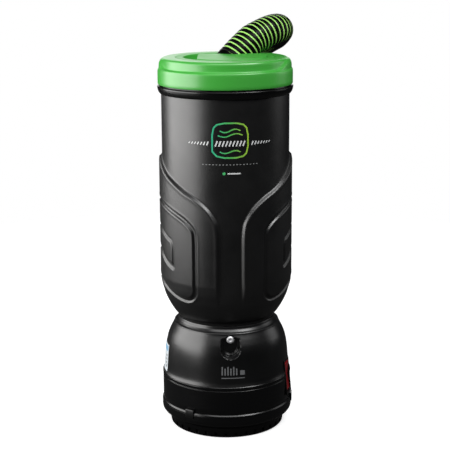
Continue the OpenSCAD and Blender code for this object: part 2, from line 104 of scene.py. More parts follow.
def fillet(points, radius, n=4, closed=True):
    """The polygon with its corners rounded; radius is one number or one per corner."""
    pts = [np.array(p, float) for p in points]
    rad = radius if isinstance(radius, (list, tuple)) else [radius] * len(pts)
    out = []
    for i, p in enumerate(pts):
        if not closed and i in (0, len(pts) - 1):
            out.append(p)
            continue
        a = pts[i - 1] - p
        b = pts[(i + 1) % len(pts)] - p
        la, lb = np.linalg.norm(a), np.linalg.norm(b)
        if la < 1e-9 or lb < 1e-9:
            out.append(p)
            continue
        a, b = a / la, b / lb
        ang = math.acos(max(-1, min(1, float(a @ b))))
        if rad[i] <= 0 or ang > math.pi - 0.03:
            out.append(p)
            continue
        t = min(rad[i] / math.tan(ang / 2), 0.45 * la, 0.45 * lb)
        for k in range(n + 1):
            s = k / n
            out.append((1 - s) ** 2 * (p + a * t) + 2 * s * (1 - s) * p + s * s * (p + b * t))
    return np.array(out)


def resample(pts, longest, closed=True):
    """Points put in so that no side is longer than that."""
    pts = np.asarray(pts, float)
    out = []
    n = len(pts)
    for i in range(n if closed else n - 1):
        a, b = pts[i], pts[(i + 1) % n]
        k = max(1, int(math.ceil(np.linalg.norm(b - a) / longest)))
        for s in range(k):
            out.append(a + (b - a) * s / k)
    if not closed:
        out.append(pts[-1])
    return np.array(out)


def lathe(name, profile, mats, cols=192, radius=0.6, longest=5, at=None, n=4, axis=None, index=None):
    """A closed body of revolution from a counter-clockwise (r, z) outline in mm."""
    prof = resample(fillet(profile, radius, n), longest)
    phi = np.arange(cols) * 2 * math.pi / cols
    P = ring_points(prof[:, 0][:, None], prof[:, 1][:, None], phi[None, :])
    V = P.reshape(-1, 3)
    if axis is not None:
        V = V @ np.array(axis.to_3x3()).T + np.array(axis.translation)
    if at is not None:
        V = V + np.array(at, float)
    idx = None
    if index is not None:
        mid = (prof + np.roll(prof, -1, 0)) / 2
        idx = np.repeat(np.array([index(r, z) for r, z in mid], np.int32), cols)
    return mesh_np(name, V, torus_quads(len(prof), cols), mats, idx, sharp=50)


def pchip(x, y, q):
    """Monotone cubic interpolation of y(x) at q."""
    x, y, q = np.asarray(x, float), np.asarray(y, float), np.asarray(q, float)
    h = np.diff(x)
    d = np.diff(y) / h
    m = np.zeros(len(x))
    m[0], m[-1] = d[0], d[-1]
    for i in range(1, len(x) - 1):
        if d[i - 1] * d[i] > 0:
            w1, w2 = 2 * h[i] + h[i - 1], h[i] + 2 * h[i - 1]
            m[i] = (w1 + w2) / (w1 / d[i - 1] + w2 / d[i])
    i = np.clip(np.searchsorted(x, q) - 1, 0, len(x) - 2)
    t = np.clip((q - x[i]) / h[i], 0, 1)
    return ((1 + 2 * t) * (1 - t) ** 2 * y[i] + t * (1 - t) ** 2 * h[i] * m[i]
            + t * t * (3 - 2 * t) * y[i + 1] + t * t * (t - 1) * h[i] * m[i + 1])


def smoothstep(t):
    t = np.clip(t, 0, 1)
    return t * t * (3 - 2 * t)


def seg_dist(px, py, line):
    """Distance from each point to a polyline."""
    best = np.full(np.shape(px), 1e9)
    for (ax, ay), (bx, by) in zip(line[:-1], line[1:]):
        dx, dy = bx - ax, by - ay
        t = np.clip(((px - ax) * dx + (py - ay) * dy) / (dx * dx + dy * dy), 0, 1)
        best = np.minimum(best, np.hypot(px - ax - t * dx, py - ay - t * dy))
    return best


def inside(px, py, poly):
    c = np.zeros(np.shape(px), bool)
    for (ax, ay), (bx, by) in zip(poly, poly[1:] + poly[:1]):
        if ay != by:
            c ^= ((ay > py) != (by > py)) & (px < (bx - ax) * (py - ay) / (by - ay) + ax)
    return c


def rounded_line(pts, n=3, times=2):
    """A polyline smoothed by cutting its corners."""
    p = np.array(pts, float)
    for _ in range(times):
        q = [p[0]]
        for a, b in zip(p[:-1], p[1:]):
            q += [a * 0.75 + b * 0.25, a * 0.25 + b * 0.75]
        q.append(p[-1])
        p = np.array(q)
    return [tuple(v) for v in p]


def catmull(pts, n):
    p = [np.array(q, float) for q in pts]
    p = [2 * p[0] - p[1]] + p + [2 * p[-1] - p[-2]]
    out = []
    for i in range(1, len(p) - 2):
        for k in range(n):
            t = k / n
            out.append(0.5 * (2 * p[i] + (p[i + 1] - p[i - 1]) * t
                              + (2 * p[i - 1] - 5 * p[i] + 4 * p[i + 1] - p[i + 2]) * t * t
                              + (3 * p[i] - p[i - 1] - 3 * p[i + 1] + p[i + 2]) * t ** 3))
    out.append(p[-2])
    return np.array(out)


def at_length(pts, s):
    """Points of a polyline at the lengths s."""
    d = np.concatenate([[0], np.cumsum(np.linalg.norm(np.diff(pts, axis=0), axis=1))])
    return np.stack([np.interp(s, d, pts[:, k]) for k in range(3)], -1)


def line_length(pts):
    return float(np.linalg.norm(np.diff(pts, axis=0), axis=1).sum())


def boolean(ob, cutter, op="DIFFERENCE"):
    """Cuts ob with cutter, which goes."""
    m = ob.modifiers.new("cut", "BOOLEAN")
    m.operation = op
    m.object = cutter
    m.solver = "EXACT"
    dg = bpy.context.evaluated_depsgraph_get()
    me = bpy.data.meshes.new_from_object(ob.evaluated_get(dg))
    ob.modifiers.clear()
    old = ob.data
    ob.data = me
    bpy.data.meshes.remove(old)
    bpy.data.objects.remove(cutter)
    return ob


def box_mesh(name, lo, hi, mats=(), turn=0.0, bevel=0.0, seg=3):
    """A box in mm, turned about Z through the origin by turn degrees, with rounded edges."""
    x0, y0, z0 = lo
    x1, y1, z1 = hi
    v = np.array([[x0, y0, z0], [x1, y0, z0], [x1, y1, z0], [x0, y1, z0],
                  [x0, y0, z1], [x1, y0, z1], [x1, y1, z1], [x0, y1, z1]], float)
    c, s = math.cos(turn * RAD), math.sin(turn * RAD)
    v = v @ np.array([[c, -s, 0], [s, c, 0], [0, 0, 1]]).T
    q = [[0, 3, 2, 1], [4, 5, 6, 7], [0, 1, 5, 4], [1, 2, 6, 5], [2, 3, 7, 6], [3, 0, 4, 7]]
    ob = mesh_np(name, v, q, mats, smooth=True)
    if bevel:
        m = ob.modifiers.new("edge", "BEVEL")
        m.width = bevel * MM
        m.segments = seg
        m.harden_normals = False
        apply_all(ob)
        ob.data.set_sharp_from_angle(angle=50 * RAD)
    return ob


def apply_all(ob):
    dg = bpy.context.evaluated_depsgraph_get()
    me = bpy.data.meshes.new_from_object(ob.evaluated_get(dg))
    ob.modifiers.clear()
    old = ob.data
    ob.data = me
    bpy.data.meshes.remove(old)
    return ob


def join(name, obs):
    """One object from several plain meshes; material slots are kept by material."""
    mats = []
    V, Q, T, I, IT = [], [], [], [], []
    polys, pidx, smooth = [], [], []
    base = 0
    for o in obs:
        me = o.data
        co = np.empty(len(me.vertices) * 3)
        me.vertices.foreach_get("co", co)
        V.append(co.reshape(-1, 3))
        remap = []
        for m in me.materials:
            if m not in mats:
                mats.append(m)
            remap.append(mats.index(m))
        for p in me.polygons:
            polys.append([base + v for v in p.vertices])
            pidx.append(remap[p.material_index] if remap else 0)
            smooth.append(p.use_smooth)
        base += len(me.vertices)
    me = bpy.data.meshes.new(name)
    me.from_pydata(np.concatenate(V).tolist(), [], polys)
    for m in mats:
        me.materials.append(m)
    me.polygons.foreach_set("material_index", pidx)
    me.polygons.foreach_set("use_smooth", smooth)
    me.update()
    me.set_sharp_from_angle(angle=50 * RAD)
    for o in obs:
        bpy.data.objects.remove(o)
    return link(bpy.data.objects.new(name, me))


# ---------------------------------------------------------------- materials
def material(name, base, rough, metallic=0.0, coat=0.0, coat_rough=0.1, specular=0.5, sheen=0.0,
             grain=None, vary=0.0, tint=0.0, ior=None, waves=None, weave=None):
    """base is linear. grain = (size in mm, height in mm) of the moulded texture; vary is the roughness spread, tint the colour spread."""
    m = bpy.data.materials.new(name)
    m.use_nodes = True
    nt = m.node_tree
    b = nt.nodes["Principled BSDF"]
    b.inputs["Base Color"].default_value = (*base, 1)
    b.inputs["Roughness"].default_value = rough
    b.inputs["Metallic"].default_value = metallic
    b.inputs["Specular IOR Level"].default_value = specular
    b.inputs["Coat Weight"].default_value = coat
    b.inputs["Coat Roughness"].default_value = coat_rough
    if sheen:
        b.inputs["Sheen Weight"].default_value = sheen
        b.inputs["Sheen Roughness"].default_value = 0.5
    if ior:
        b.inputs["IOR"].default_value = ior
    m.diffuse_color = (*base, 1)
    tc = nt.nodes.new("ShaderNodeTexCoord")
    if vary or tint:
        n = nt.nodes.new("ShaderNodeTexNoise")
        n.inputs["Scale"].default_value = 18
        n.inputs["Detail"].default_value = 5
        n.inputs["Roughness"].default_value = 0.6
        nt.links.new(tc.outputs["Object"], n.inputs["Vector"])
        if vary:
            r = nt.nodes.new("ShaderNodeMapRange")
            r.inputs["From Min"].default_value = 0.3
            r.inputs["From Max"].default_value = 0.7
            r.inputs["To Min"].default_value = rough - vary
            r.inputs["To Max"].default_value = rough + vary
            nt.links.new(n.outputs["Fac"], r.inputs["Value"])
            nt.links.new(r.outputs["Result"], b.inputs["Roughness"])
        if tint:
            ramp = nt.nodes.new("ShaderNodeValToRGB")
            ramp.color_ramp.elements[0].position = 0.3
            ramp.color_ramp.elements[1].position = 0.7
            ramp.color_ramp.elements[0].color = (*[c * (1 - tint) for c in base], 1)
            ramp.color_ramp.elements[1].color = (*[min(1, c * (1 + tint)) for c in base], 1)
            nt.links.new(n.outputs["Fac"], ramp.inputs["Fac"])
            nt.links.new(ramp.outputs["Color"], b.inputs["Base Color"])
    height = None
    if grain:
        v = nt.nodes.new("ShaderNodeTexNoise")
        v.inputs["Scale"].default_value = 1000.0 / grain[0]
        v.inputs["Detail"].default_value = 2
        nt.links.new(tc.outputs["Object"], v.inputs["Vector"])
        height = (v.outputs["Fac"], grain[1])
    if weave:
        pitch, depth = weave
        outs = []
        for direction in ("X", "Z"):
            w = nt.nodes.new("ShaderNodeTexWave")
            w.wave_type = "BANDS"
            w.bands_direction = direction
            w.inputs["Scale"].default_value = 1000.0 / pitch / 20 * math.pi
            w.inputs["Distortion"].default_value = 0.6
            nt.links.new(tc.outputs["Object"], w.inputs["Vector"])
            outs.append(w.outputs["Fac"])
        mul = nt.nodes.new("ShaderNodeMath")
        mul.operation = "MULTIPLY"
        nt.links.new(outs[0], mul.inputs[0])
        nt.links.new(outs[1], mul.inputs[1])
        height = (mul.outputs[0], depth)
    if height:
        bump = nt.nodes.new("ShaderNodeBump")
        bump.inputs["Strength"].default_value = 1.0
        bump.inputs["Distance"].default_value = height[1] * MM
        nt.links.new(height[0], bump.inputs["Height"])
        nt.links.new(bump.outputs["Normal"], b.inputs["Normal"])
    return m


M = {
    "canister_black": material("canister_black", (0.0013, 0.0014, 0.0016), 0.38, grain=(1.6, 0.10), vary=0.04, specular=1.0),
    "housing_black": material("housing_black", (0.0013, 0.0014, 0.0016), 0.32, grain=(1.5, 0.05), vary=0.04, specular=0.75),
    # base_shaded_black is the housing's black plastic with a darker colour and less gloss, used on the motor base,
    # bumper and foot: painted shade that keeps the lower base darker
    "base_shaded_black": material("base_shaded_black", (0.0010, 0.0011, 0.0013), 0.25, grain=(1.5, 0.04), vary=0.03, specular=0.55),
    "trim_black": material("trim_black", (0.0015, 0.0015, 0.0017), 0.26, vary=0.04),
    "lid_green": material("lid_green", (0.058, 0.42, 0.050), 0.33, grain=(2.2, 0.035), vary=0.04, specular=0.9),
    "hose_black": material("hose_black", (0.0010, 0.0017, 0.0012), 0.34, vary=0.04, specular=0.10),
    "cuff_black": material("cuff_black", (0.010, 0.010, 0.011), 0.34, grain=(1.2, 0.04), vary=0.04),
    "switch_red": material("switch_red", (0.27, 0.008, 0.011), 0.30, vary=0.03, coat=0.2),
    "label_white": material("label_white", (0.70, 0.76, 0.80), 0.42, vary=0.04),
    "rubber_grey": material("rubber_grey", (0.030, 0.030, 0.031), 0.62, grain=(1.0, 0.05), vary=0.06),
    "steel": material("steel", (0.66, 0.66, 0.68), 0.22, metallic=1.0, vary=0.06),
    "lamination": material("lamination", (0.30, 0.29, 0.28), 0.42, metallic=0.9, vary=0.06),
    "alloy": material("alloy", (0.60, 0.61, 0.62), 0.36, metallic=1.0, vary=0.06, grain=(1.5, 0.05)),
    "copper": material("copper", (0.72, 0.36, 0.18), 0.28, metallic=1.0, vary=0.05),
    "carbon": material("carbon", (0.035, 0.035, 0.038), 0.55, grain=(0.8, 0.05)),
    "filter_paper": material("filter_paper", (0.74, 0.71, 0.62), 0.85, grain=(1.4, 0.12), tint=0.05),
    "filter_cloth": material("filter_cloth", (0.55, 0.57, 0.60), 0.88, weave=(1.2, 0.2), tint=0.05),
    "card": material("card", (0.42, 0.29, 0.16), 0.8, grain=(1.2, 0.08), tint=0.08),
    "wire_red": material("wire_red", (0.30, 0.03, 0.025), 0.45),
    "pad_fabric": material("pad_fabric", (0.017, 0.018, 0.021), 0.82, sheen=0.25, weave=(1.9, 0.24), tint=0.15),
    "strap_fabric": material("strap_fabric", (0.015, 0.016, 0.018), 0.80, sheen=0.2, weave=(1.5, 0.18), tint=0.15),
    "pleat_grey": material("pleat_grey", (0.16, 0.165, 0.17), 0.40),
    "frame_black": material("frame_black", (0.014, 0.014, 0.016), 0.44, grain=(1.4, 0.07), vary=0.05),
}
HOSE_GREEN = material("hose_green", (0.40, 0.80, 0.17), 0.34, vary=0.04)
BOWL_GREEN = material("turret_green", (0.058, 0.41, 0.050), 0.40, grain=(2.2, 0.035), vary=0.04)
WEBBING = material("webbing", (0.012, 0.012, 0.013), 0.70, sheen=0.15, weave=(1.4, 0.20), tint=0.12)
BINDING = material("binding", (0.009, 0.009, 0.010), 0.60, sheen=0.2, weave=(1.1, 0.2))
THREAD = material("thread", (0.055, 0.058, 0.062), 0.7)
DECAL_WHITE = material("decal_white", (0.80, 0.82, 0.82), 0.42)
DECAL_GREY = material("decal_grey", (0.30, 0.31, 0.31), 0.45)
DECAL_BLUE = material("label_blue", (0.22, 0.45, 0.66), 0.42)
SCREW = material("screw_bright", (0.90, 0.90, 0.92), 0.46, metallic=0.55)
SOCKET = material("socket_dark", (0.02, 0.02, 0.02), 0.5, metallic=0.6)


def gradient_material(name, stops, x0, x1, rough=0.42):
    """A colour that runs along X on the object, from x0 to x1 in mm."""
    m = bpy.data.materials.new(name)
    m.use_nodes = True
    nt = m.node_tree
    b = nt.nodes["Principled BSDF"]
    b.inputs["Roughness"].default_value = rough
    tc = nt.nodes.new("ShaderNodeTexCoord")
    sep = nt.nodes.new("ShaderNodeSeparateXYZ")
    rng = nt.nodes.new("ShaderNodeMapRange")
    rng.inputs["From Min"].default_value = x0 * MM
    rng.inputs["From Max"].default_value = x1 * MM
    ramp = nt.nodes.new("ShaderNodeValToRGB")
    el = ramp.color_ramp.elements
    el[0].position, el[0].color = stops[0][0], (*stops[0][1], 1)
    el[1].position, el[1].color = stops[-1][0], (*stops[-1][1], 1)
    for pos, col in stops[1:-1]:
        e = el.new(pos)
        e.color = (*col, 1)
    nt.links.new(tc.outputs["Object"], sep.inputs[0])
    nt.links.new(sep.outputs["X"], rng.inputs["Value"])
    nt.links.new(rng.outputs["Result"], ramp.inputs["Fac"])
    nt.links.new(ramp.outputs["Color"], b.inputs["Base Color"])
    return m


DECAL_GREEN = gradient_material("decal_green", [(0.0, (0.03, 0.50, 0.30)), (0.5, (0.10, 0.55, 0.12)), (1.0, (0.42, 0.66, 0.04))], -30, 30)

# ---------------------------------------------------------------- camera
cam_data = bpy.data.cameras.new("camera")
cam_data.lens = 99.62
cam_data.sensor_width = 36
cam_data.clip_start = 0.05
cam_data.clip_end = 50
cam = link(bpy.data.objects.new("camera", cam_data))
cam.location = (-0.12917, -1.84723, 0.74031)
cam.rotation_euler = (Matrix.Rotation(-3.955 * RAD, 3, "Z") @ Matrix.Rotation((90 - 13.067) * RAD, 3, "X")
                      @ Matrix.Rotation(-0.30 * RAD, 3, "Z")).to_euler()
scene.camera = cam

# ---------------------------------------------------------------- hose
ROUTE = [[9, 27, 554], [20, 31, 566], [32, 36, 577], [44, 43, 587], [57, 51, 593], [70, 60, 598],
         [81, 72, 600], [88, 88, 599], [89, 106, 595], [87, 125, 589], [81, 143, 583], [72, 162, 575], [60, 179, 565],
         [44, 193, 552], [28, 203, 532], [15, 210, 508], [6, 214, 480], [1, 218, 450], [0, 221, 410], [0, 224, 360],
         [0, 226, 310], [0, 227, 260], [0, 228, 210], [0, 230, 170], [1, 236, 135], [1, 247, 101], [2, 265, 71],
         [3, 290, 47], [5, 320, 31], [8, 355, 24], [14, 410, 24], [20, 465, 24], [24, 525, 24], [24, 590, 24],
         [24, 650, 24], [24, 710, 24]]


def frames_along(pts):
    """Rotation-minimising frames along a polyline: tangents, normals, binormals."""
    t = np.gradient(pts, axis=0)
    t /= np.linalg.norm(t, axis=1)[:, None]
    n = np.zeros_like(pts)
    ref = np.array([0.0, 1.0, 0.0]) if abs(t[0][1]) < 0.9 else np.array([1.0, 0, 0])
    n[0] = np.cross(t[0], ref)
    n[0] /= np.linalg.norm(n[0])
    for i in range(1, len(pts)):
        v = n[i - 1] - t[i] * (n[i - 1] @ t[i])
        n[i] = v / np.linalg.norm(v)
    return t, n, np.cross(t, n)


def make_hose():
    fine = catmull(ROUTE, 24)
    total = line_length(fine)
    pitch, K = 7.05, 28
    prof = [(0.0, 23.5), (0.04, 23.8), (0.12, 23.97), (0.32, 24.0), (0.52, 23.97), (0.60, 23.8), (0.65, 23.5), (0.69, 23.3),
            (0.75, 23.15), (0.82, 23.1), (0.89, 23.15), (0.955, 23.3)]
    green = [7, 8, 9, 10]
    N = len(prof)
    turns = int((total - 1.0) / pitch) - 1
    J = turns * N
    phase = np.array([p for p, _ in prof])
    radius = np.array([r for _, r in prof])
    # the frame sampled finely, then looked up at each point's own length
    step = np.linspace(0, total, 2400)
    cl = at_length(fine, step)
    T, Nn, B = frames_along(cl)
    j = np.arange(J + 1)
    k = np.arange(K)
    s = ((j // N) + phase[j % N])[:, None] * pitch + (k / K)[None, :] * pitch
    s = np.clip(s + 0.3, 0, total - 0.3)
    th = (2 * math.pi * k / K)[None, :]
    r = radius[j % N][:, None]
    out = np.zeros(s.shape + (3,))
    for c in range(3):
        ctr = np.interp(s, step, cl[:, c])
        nn = np.interp(s, step, Nn[:, c])
        bb = np.interp(s, step, B[:, c])
        out[..., c] = ctr + r * (np.cos(th) * nn + np.sin(th) * bb)
    V = out.reshape(-1, 3)
    quads, idx = [], []
    # row j, column K is row j + N, column 0: the helix
    jj = np.arange(J)[:, None]
    kk = np.arange(K)[None, :]
    a = jj * K + kk
    last = kk == K - 1
    nxt_col = np.where(last, (jj + N) * K, jj * K + kk + 1)
    nxt_both = np.where(last, (jj + 1 + N) * K, (jj + 1) * K + kk + 1)
    up = (jj + 1) * K + kk
    ok = np.where(last, jj + 1 + N <= J, True) & (nxt_both < len(V)) & (nxt_col < len(V))
    q = np.stack([a, up, nxt_both, nxt_col], -1)[ok]
    mi = np.isin(np.broadcast_to(jj % N, ok.shape)[ok] , green).astype(np.int32)
    V = list(V)
    ob = mesh_np("suction_hose", np.array(V), q, [M["hose_black"], HOSE_GREEN], mi)
    # an inner liner, which closes the ends
    s2 = np.linspace(0.2, total - 0.2, 420)
    cl2 = at_length(fine, s2)
    T2, N2, B2 = frames_along(cl2)
    K2 = 32
    th2 = np.arange(K2) * 2 * math.pi / K2
    rows = []
    for rad_, rev in ((22.15, False), (21.0, True)):
        ring = cl2[:, None, :] + rad_ * (np.cos(th2)[None, :, None] * N2[:, None, :] + np.sin(th2)[None, :, None] * B2[:, None, :])
        rows.append(ring[::-1] if rev else ring)
    P = np.concatenate(rows, 0)
    qq = torus_quads(len(P), K2)[:, ::-1]
    liner = mesh_np("hose_liner", P.reshape(-1, 3), qq, [HOSE_GREEN])
    return ob, liner, fine, total


hose, liner, hose_line, hose_len = make_hose()
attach(hose, "turret")
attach(liner, "turret")
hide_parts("hose")


# ---------------------------------------------------------------- canister
WING_EDGE = [(10.9, 120), (10.9, 232), (10.6, 250), (10.5, 275), (10.5, 300), (10.6, 312), (11, 322), (12, 333), (14, 340),
             (17, 348.5), (21, 356.5), (27, 364.5), (33, 371), (40, 376), (48, 383), (56, 390), (66, 397.5), (75, 406.5),
             (84, 416), (96, 428)]
GROOVE_1 = [(92, 357), (90, 357), (76, 354), (66, 350), (55.5, 345), (47, 340), (40.5, 334.6), (35, 327), (32.4, 321), (31.3, 312),
            (31.2, 284), (31.2, 246), (31.3, 228), (33.4, 221), (36.8, 215.6), (41.2, 213.2), (47, 214), (53.5, 216),
            (61, 220), (69.3, 225), (76, 230), (90, 238), (92, 238)]
GROOVE_2A = [(92, 317), (90, 317), (78.6, 313), (65, 304), (56, 300), (56, 264), (56.3, 261)]
GROOVE_2B = [(56.3, 261), (67, 267), (78, 277), (90, 283.5), (92, 283.5)]
DEG = 1.71  # mm along the shell for each degree


def scaled(line):
    return [(a * DEG, b) for a, b in rounded_line(line)]


def make_canister():
    cols = 576
    phi = np.linspace(-180, 180, cols, endpoint=False)
    a = np.abs(phi)
    a = np.minimum(a, 180 - a)
    z = np.concatenate([[172.2], np.arange(173.5, 205, 1.6), np.arange(205, 436, 1.2), np.arange(437, 512, 4.0),
                        [513, 515, 517, 518.4, 519]])
    zc = [172.2, 175, 179, 183, 191.4, 199.6, 206, 212, 220, 230, 240, 519]
    rc = [73.0, 73.5, 77.6, 80.6, 85.8, 90.1, 92.6, 94.2, 95.2, 95.7, 95.7, 95.7]
    zw = [172.2, 175, 179, 184, 191.4, 199.6, 207.7, 215.7, 223.5, 231, 240, 410, 419, 426, 433, 440, 519]
    rw = [73.0, 73.5, 77.6, 81.3, 85.9, 90.2, 93.7, 96, 98.2, 99.4, 100.3, 100.3, 99.8, 97.6, 95.8, 95.7, 95.7]
    RC, RW = pchip(zc, rc, z)[:, None], pchip(zw, rw, z)[:, None]
    U = (a * DEG)[None, :] + 0 * z[:, None]
    Z = z[:, None] + 0 * a[None, :]
    edge = scaled(WING_EDGE)
    d = seg_dist(U, Z, edge)
    sign = inside(U, Z, edge + [(200, 428), (200, 120)])
    d = np.where(sign, d, -d)
    W = smoothstep((d + 2.4) / 4.8)
    # the wing's rim stands a little proud along its edge, then falls back
    R = RC + (np.maximum(RW, RC) - RC) * W
    rim = np.exp(-((d - 3.4) / 2.6) ** 2) * smoothstep((Z - 215) / 25) * smoothstep((425 - Z) / 25)
    R = R + 0.35 * rim
    g1 = seg_dist(U, Z, scaled(GROOVE_1))
    R = R - 2.6 * (1 - smoothstep((g1 - 1.5) / 2.4))
    R = R + 0.25 * np.exp(-((g1 - 5.2) / 1.6) ** 2)
    g2 = seg_dist(U, Z, scaled(GROOVE_2A))
    g3 = seg_dist(U, Z, scaled(GROOVE_2B))
    h2 = 2.3 * (1 - smoothstep((g2 - 1.2) / 2.2))
    h3 = 2.3 * (1 - smoothstep((g3 - 2.4) / 2.4))
    R = R - np.maximum(h2, h3)
    P = ring_points(R, z[:, None], (phi * RAD)[None, :])
    inner = resample(fillet([[95.7, 519], [92.7, 519], [92.7, 504], [89, 500], [92.7, 496], [92.7, 230], [91.2, 212], [87, 200],
                             [80, 190], [73, 182], [62, 180.4], [30, 180.4], [30, 176], [60, 176], [60, 172.2], [70, 172.2]],
                            [0, 0.5, 0.5, 0.8, 0.5, 8, 6, 6, 6, 3, 1, 0.6, 0.6, 0.6, 0.6, 0], 3, closed=False), 20, closed=False)
    inner = inner[1:]
    Q = ring_points(inner[:, 0][:, None], inner[:, 1][:, None], (phi * RAD)[None, :])
    P = np.concatenate([P, Q], 0)
    return mesh_np("canister_shell", P.reshape(-1, 3), torus_quads(len(P), cols), [M["canister_black"]], sharp=60)


canister = make_canister()
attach(canister, "vacuum")
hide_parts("canister")


# ---------------------------------------------------------------- motor housing
def around_box(name, phi, lo, hi):
    return box_mesh(name, lo, hi, turn=phi)


def make_dome():
    dome = [[98.5, 84.05], [97.9, 85.6], [97.0, 88], [96.3, 92], [95.8, 98], [95.4, 104], [94.9, 111], [94.2, 118.5], [93.2, 126.5], [91.7, 134.5],
            [89.2, 143], [85.6, 151], [81.5, 159], [79.6, 163], [76.4, 167], [73.5, 171.4]]
    z = np.concatenate([np.arange(84.05, 122, 1.9), np.arange(122.5, 164, 0.75), np.arange(164.5, 171, 1.0), [171.4]])
    r = pchip([p[1] for p in dome], [p[0] for p in dome], z)
    # ridge ring above the pocket
    r = r + 0.45 * np.exp(-((z - 162.0) / 0.9) ** 2) - 1.5 * smoothstep((z - 162.3) / 1.4) * smoothstep((171.6 - z) / 5)
    phi = np.concatenate([np.arange(-180, -14, 2.0), np.arange(-14, 14, 0.5), np.arange(14, 180, 2.0)])
    P = ring_points(r[:, None], z[:, None], (phi * RAD)[None, :])

    def depth(q, off):
        """How far a point lies inside the shield outline, drawn in by off."""
        x, zz = np.abs(q[..., 0]), q[..., 2]
        w, top, ctr = 15 - off, 160 - off, 141
        below = w - np.hypot(x, zz - ctr)
        side = w - x
        d = np.where(zz < ctr, below, side)
        return np.minimum(d, top - zz)

    front = (P[..., 1] < 0) & (np.abs(P[..., 0]) < 24)
    for off, floor, wall in ((0, -82.2, 1.6), (4.0, -78.8, 1.2)):
        dep = depth(P, off)
        if off:  # the round seat under the screw
            dep = np.maximum(dep, 7.2 - np.hypot(P[..., 0], P[..., 2] - 153))
        t = smoothstep(dep / wall) * front
        y = np.maximum(P[..., 1], floor)
        P[..., 1] = np.where(front, P[..., 1] + (y - P[..., 1]) * t, P[..., 1])
    # the inside wall of the housing
    inner = resample(np.array([[60, 171.4], [60, 168.4], [71, 168.4], [76.3, 162.5], [82.3, 151], [88.3, 135], [89.8, 127],
                               [90.9, 118], [92.2, 102], [93.0, 94], [95.3, 84.05]], float), 12, closed=False)
    Q = ring_points(inner[:, 0][:, None], inner[:, 1][:, None], (phi * RAD)[None, :])
    # the inside wall goes round the pocket too
    fr = (Q[..., 1] < 0) & (np.abs(Q[..., 0]) < 24) & (Q[..., 2] > 118) & (Q[..., 2] < 165)
    Q[..., 1] = np.where(fr & (np.abs(Q[..., 0]) < 19), np.maximum(Q[..., 1], -75.6), Q[..., 1])
    P = np.concatenate([P, Q], 0)
    ob = mesh_np("motor_dome_shell", P.reshape(-1, 3), torus_quads(len(P), len(phi)), [M["housing_black"]], sharp=55)
    return ob


dome = make_dome()
boolean(dome, around_box("cut", 70, (-12.6, -110, 50.5), (12.6, -70, 104.5)))
dome.data.set_sharp_from_angle(angle=55 * RAD)
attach(dome, "vacuum")
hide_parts("motor_dome")

mbase = lathe("motor_base_shell", [[93.5, 40.05], [98.2, 40.05], [98.3, 43.6], [99, 46.5], [99, 76.3], [98.9, 77.2], [98.0, 77.9], [98.0, 78.5],
                                   [99.25, 79.3], [99.4, 80.4], [99.4, 82.2], [99.2, 83.2], [98.4, 84], [95.2, 84], [95.8, 80], [95.8, 50],
                                   [93.5, 47]],
              [M["base_shaded_black"]], cols=256, radius=[0.4, 0.5, 1.5, 1.5, 0.5, 0.5, 0.35, 0.35, 0.5, 0.5, 0.5, 0.5, 0.3, 0.4, 1, 1, 0.4], longest=3)
boolean(mbase, around_box("cut", 70, (-12.6, -110, 50.5), (12.6, -70, 104.5)))
mbase.data.set_sharp_from_angle(angle=50 * RAD)
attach(mbase, "vacuum")
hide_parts("motor_base")

bring = lathe("bumper_ring", [[93.5, 22], [98.6, 22], [100.1, 24], [100.7, 27], [100.7, 35], [100.1, 38], [98.6, 40], [93.5, 40]],
              [M["base_shaded_black"]], cols=256, radius=[0.3, 0.8, 2, 2.4, 2.4, 2, 0.8, 0.3], longest=2.5)
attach(bring, "vacuum")
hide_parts("base_ring")



def make_foot():
    """The turned foot: an undercut under the bumper, a drum with louvres cut in, and a flat face with three screw recesses."""
    out = [(98.6, 22.0), (98.2, 21.3), (97.2, 20.6), (95.4, 19.9), (93.2, 19.3), (91.2, 18.7), (89.9, 17.9), (89.1, 16.8), (88.7, 15.2), (88.5, 13.4),
           (88.35, 11.6), (88.2, 9.8), (88.1, 9.1), (88.05, 8.7), (88.0, 8.5), (87.9, 7.0), (87.8, 5.2), (87.7, 3.7), (87.65, 3.5), (87.6, 3.1),
           (87.5, 2.2), (87.3, 1.1), (86.8, 0.4), (86.0, 0.05), (84.9, 0.0)]
    inner = [(80, 0), (79, 0), (77, 0), (75, 0), (73, 0), (71, 0), (69, 0), (60, 0), (40, 0), (20, 0), (2, 0), (2, 3), (40, 3), (83.6, 3), (84, 12), (87.6, 13.6), (94, 20.6),
             (95.4, 22)]
    n_l = 36
    per = 20
    cols = n_l * per
    # columns gathered at each louvre's sides
    base = np.array([-2.2, -2.02, -1.2, 0, 1.2, 2.02, 2.2]) / 87.2 / RAD
    rest = np.linspace(base[-1], 10 + base[0], per - len(base) + 2)[1:-1]
    cell = np.concatenate([base, rest])
    phi = np.concatenate([cell + 5 + 10 * i for i in range(n_l)])
    prof = np.array(out)
    P = ring_points(prof[:, 0][:, None], prof[:, 1][:, None], (phi * RAD)[None, :])
    k = np.arange(cols) % per
    deep = (k >= 1) & (k <= 5)
    rows = (prof[:, 1] < 8.6) & (prof[:, 1] > 3.6)
    cut = rows[:, None] & deep[None, :]
    scale = np.where(cut, (prof[:, 0][:, None] - 3.0) / prof[:, 0][:, None], 1.0)
    P[..., 0] *= scale
    P[..., 1] *= scale
    q = np.array(inner, float)
    Q = ring_points(q[:, 0][:, None], q[:, 1][:, None], (phi * RAD)[None, :])
    P = np.concatenate([P, Q], 0)
    return mesh_np("foot_shell", P.reshape(-1, 3), torus_quads(len(P), cols), [M["base_shaded_black"]], sharp=45)


foot = make_foot()
for i in range(3):
    a = (60 + 120 * i) * RAD
    boolean(foot, lathe("screw_cut", [[0.01, -1], [4.7, -1], [4.7, 1.9], [2.3, 1.9], [2.3, 6], [0.01, 6]], [], cols=40, radius=0, longest=20,
                        at=(74 * math.sin(a), -74 * math.cos(a), 0)))
foot.data.set_sharp_from_angle(angle=45 * RAD)
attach(foot, "vacuum")
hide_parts("filter_cap")

